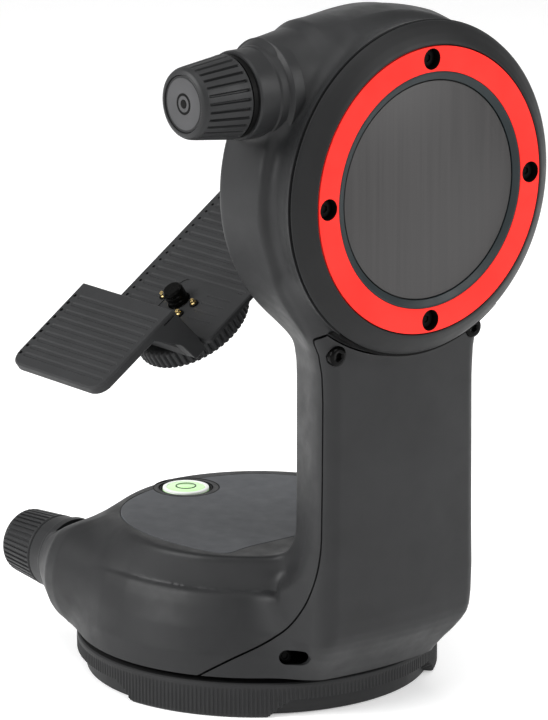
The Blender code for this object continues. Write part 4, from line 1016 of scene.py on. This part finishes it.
for i, x in enumerate(BRACKET_SCREWS):
    place = TILT @ Matrix.Translation((x, 0, -26.3)) @ UPSIDE_DOWN
    body, socket = screw(2.8, 1.8, 1.6, 6.3)
    made = piece(f"cradle_screw_{i + 1}_turned", *body, STEEL, place)
    cut(made, socket, place=place)
    finish_off(made.data)
    show(made, "cradle", "steel", f"cradle_screw_{i + 1}")

# ---------------------------------------------------------------- inner CAD nodes keep their shape

INNER = {
    STEEL: ("spindle", "spindle_nut", "azimuth_bearing_lower", "azimuth_bearing_upper", "tilt_bearing_inner",
            "tilt_bearing_outer", "azimuth_worm", "tilt_worm", "azimuth_clutch_washer", "tilt_clutch_washer",
            "tilt_shaft", "bearing_bridge"),
    BRASS: ("azimuth_wheel", "tilt_wheel", "azimuth_worm_bush", "tilt_worm_bush"),
    BLACK: ("turret_floor",),
    BOARD: ("main_board", "azimuth_reader_board", "tilt_reader_board"),
    CODE: ("azimuth_code_disc", "tilt_code_disc"),
}
for finish, names in INNER.items():
    for name in names:
        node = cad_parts[name]
        node.data.materials.clear()
        node.data.materials.append(finish)

# ---------------------------------------------------------------- stage

floor_mesh = bpy.data.meshes.new("floor")
sweep = [(-3.0, 2.2), (-3.0, 0.9), (-2.9, 0.5), (-2.6, 0.2), (-2.2, 0.04), (-1.8, 0.0), (3.5, 0.0)]
floor_verts = [(a, side, b - 0.008) for a, b in sweep for side in (-3.5, 3.5)]
floor_faces = [(2 * i, 2 * i + 1, 2 * i + 3, 2 * i + 2) for i in range(len(sweep) - 1)]
floor_mesh.from_pydata(floor_verts, [], floor_faces)
floor_mesh.transform(Matrix.Rotation(math.radians(CAMERA_TURN), 4, "Z"))
floor_mesh.shade_smooth()
floor = bpy.data.objects.new("floor", floor_mesh)
bpy.context.scene.collection.objects.link(floor)
paper = Finish("floor_finish")
paper.colour(paper.ramp(paper.noise(3, 3), (0.86, 0.86, 0.86), (0.9, 0.9, 0.9)))
paper.rough(paper.ramp(paper.noise(40), 0.8, 0.95))
paper.bump(paper.noise(400), 0.05, 0.05)
floor_mesh.materials.append(paper.material)
paper.shader.inputs["Emission Color"].default_value = (1, 1, 1, 1)
paper.shader.inputs["Emission Strength"].default_value = 0.3
floor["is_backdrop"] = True

world = bpy.data.worlds.new("studio")
bpy.context.scene.world = world
world.use_nodes = True
world.node_tree.nodes["Background"].inputs["Color"].default_value = (1, 1, 1, 1)
world.node_tree.nodes["Background"].inputs["Strength"].default_value = 0.36


def softbox(name, azimuth, elevation, distance, size, power):
    """A square area light aimed at the object; azimuth is measured from the camera, to its right."""
    data = bpy.data.lights.new(name, "AREA")
    data.shape, data.size, data.energy = "SQUARE", size, power
    a, e = math.radians(CAMERA_TURN + azimuth), math.radians(elevation)
    target = Vector((0.01, 0, 0.1))
    back = Vector((math.cos(a) * math.cos(e), math.sin(a) * math.cos(e), math.sin(e)))
    lamp = bpy.data.objects.new(name, data)
    lamp.location = target + back * distance
    lamp.rotation_euler = back.to_track_quat("Z", "Y").to_euler()
    bpy.context.scene.collection.objects.link(lamp)
    lamp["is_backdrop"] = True


softbox("top", 20, 78, 1.1, 1.0, 7.5)
softbox("left", -72, 28, 1.1, 0.6, 13)
softbox("right", 66, 25, 1.1, 0.6, 7)
softbox("front", 5, 14, 1.8, 0.8, 4)

camera_data = bpy.data.cameras.new("camera")
camera = bpy.data.objects.new("camera", camera_data)
bpy.context.scene.collection.objects.link(camera)
bpy.context.scene.camera = camera
camera_data.lens, camera_data.sensor_width, camera_data.sensor_fit = 230.0, 36.0, "AUTO"
camera_data.shift_x, camera_data.shift_y = 0.0251, -0.0410
camera_data.clip_start, camera_data.clip_end = 0.05, 20.0
back = Vector((0.7503, -0.6110, 0.2524)).normalized()
camera.location = (0.9984, -0.8132, 0.4278)
camera.rotation_mode = "QUATERNION"
roll = Matrix.Rotation(math.radians(-0.14), 3, "Z").to_quaternion()
camera.rotation_quaternion = back.to_track_quat("Z", "Y") @ roll
bpy.context.scene.view_settings.view_transform = "Standard"

end_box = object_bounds()
for label, (lo, hi) in (("cad", start_box), ("visual", end_box)):
    print(label, [round(v * 1000, 2) for v in lo], [round(v * 1000, 2) for v in hi])
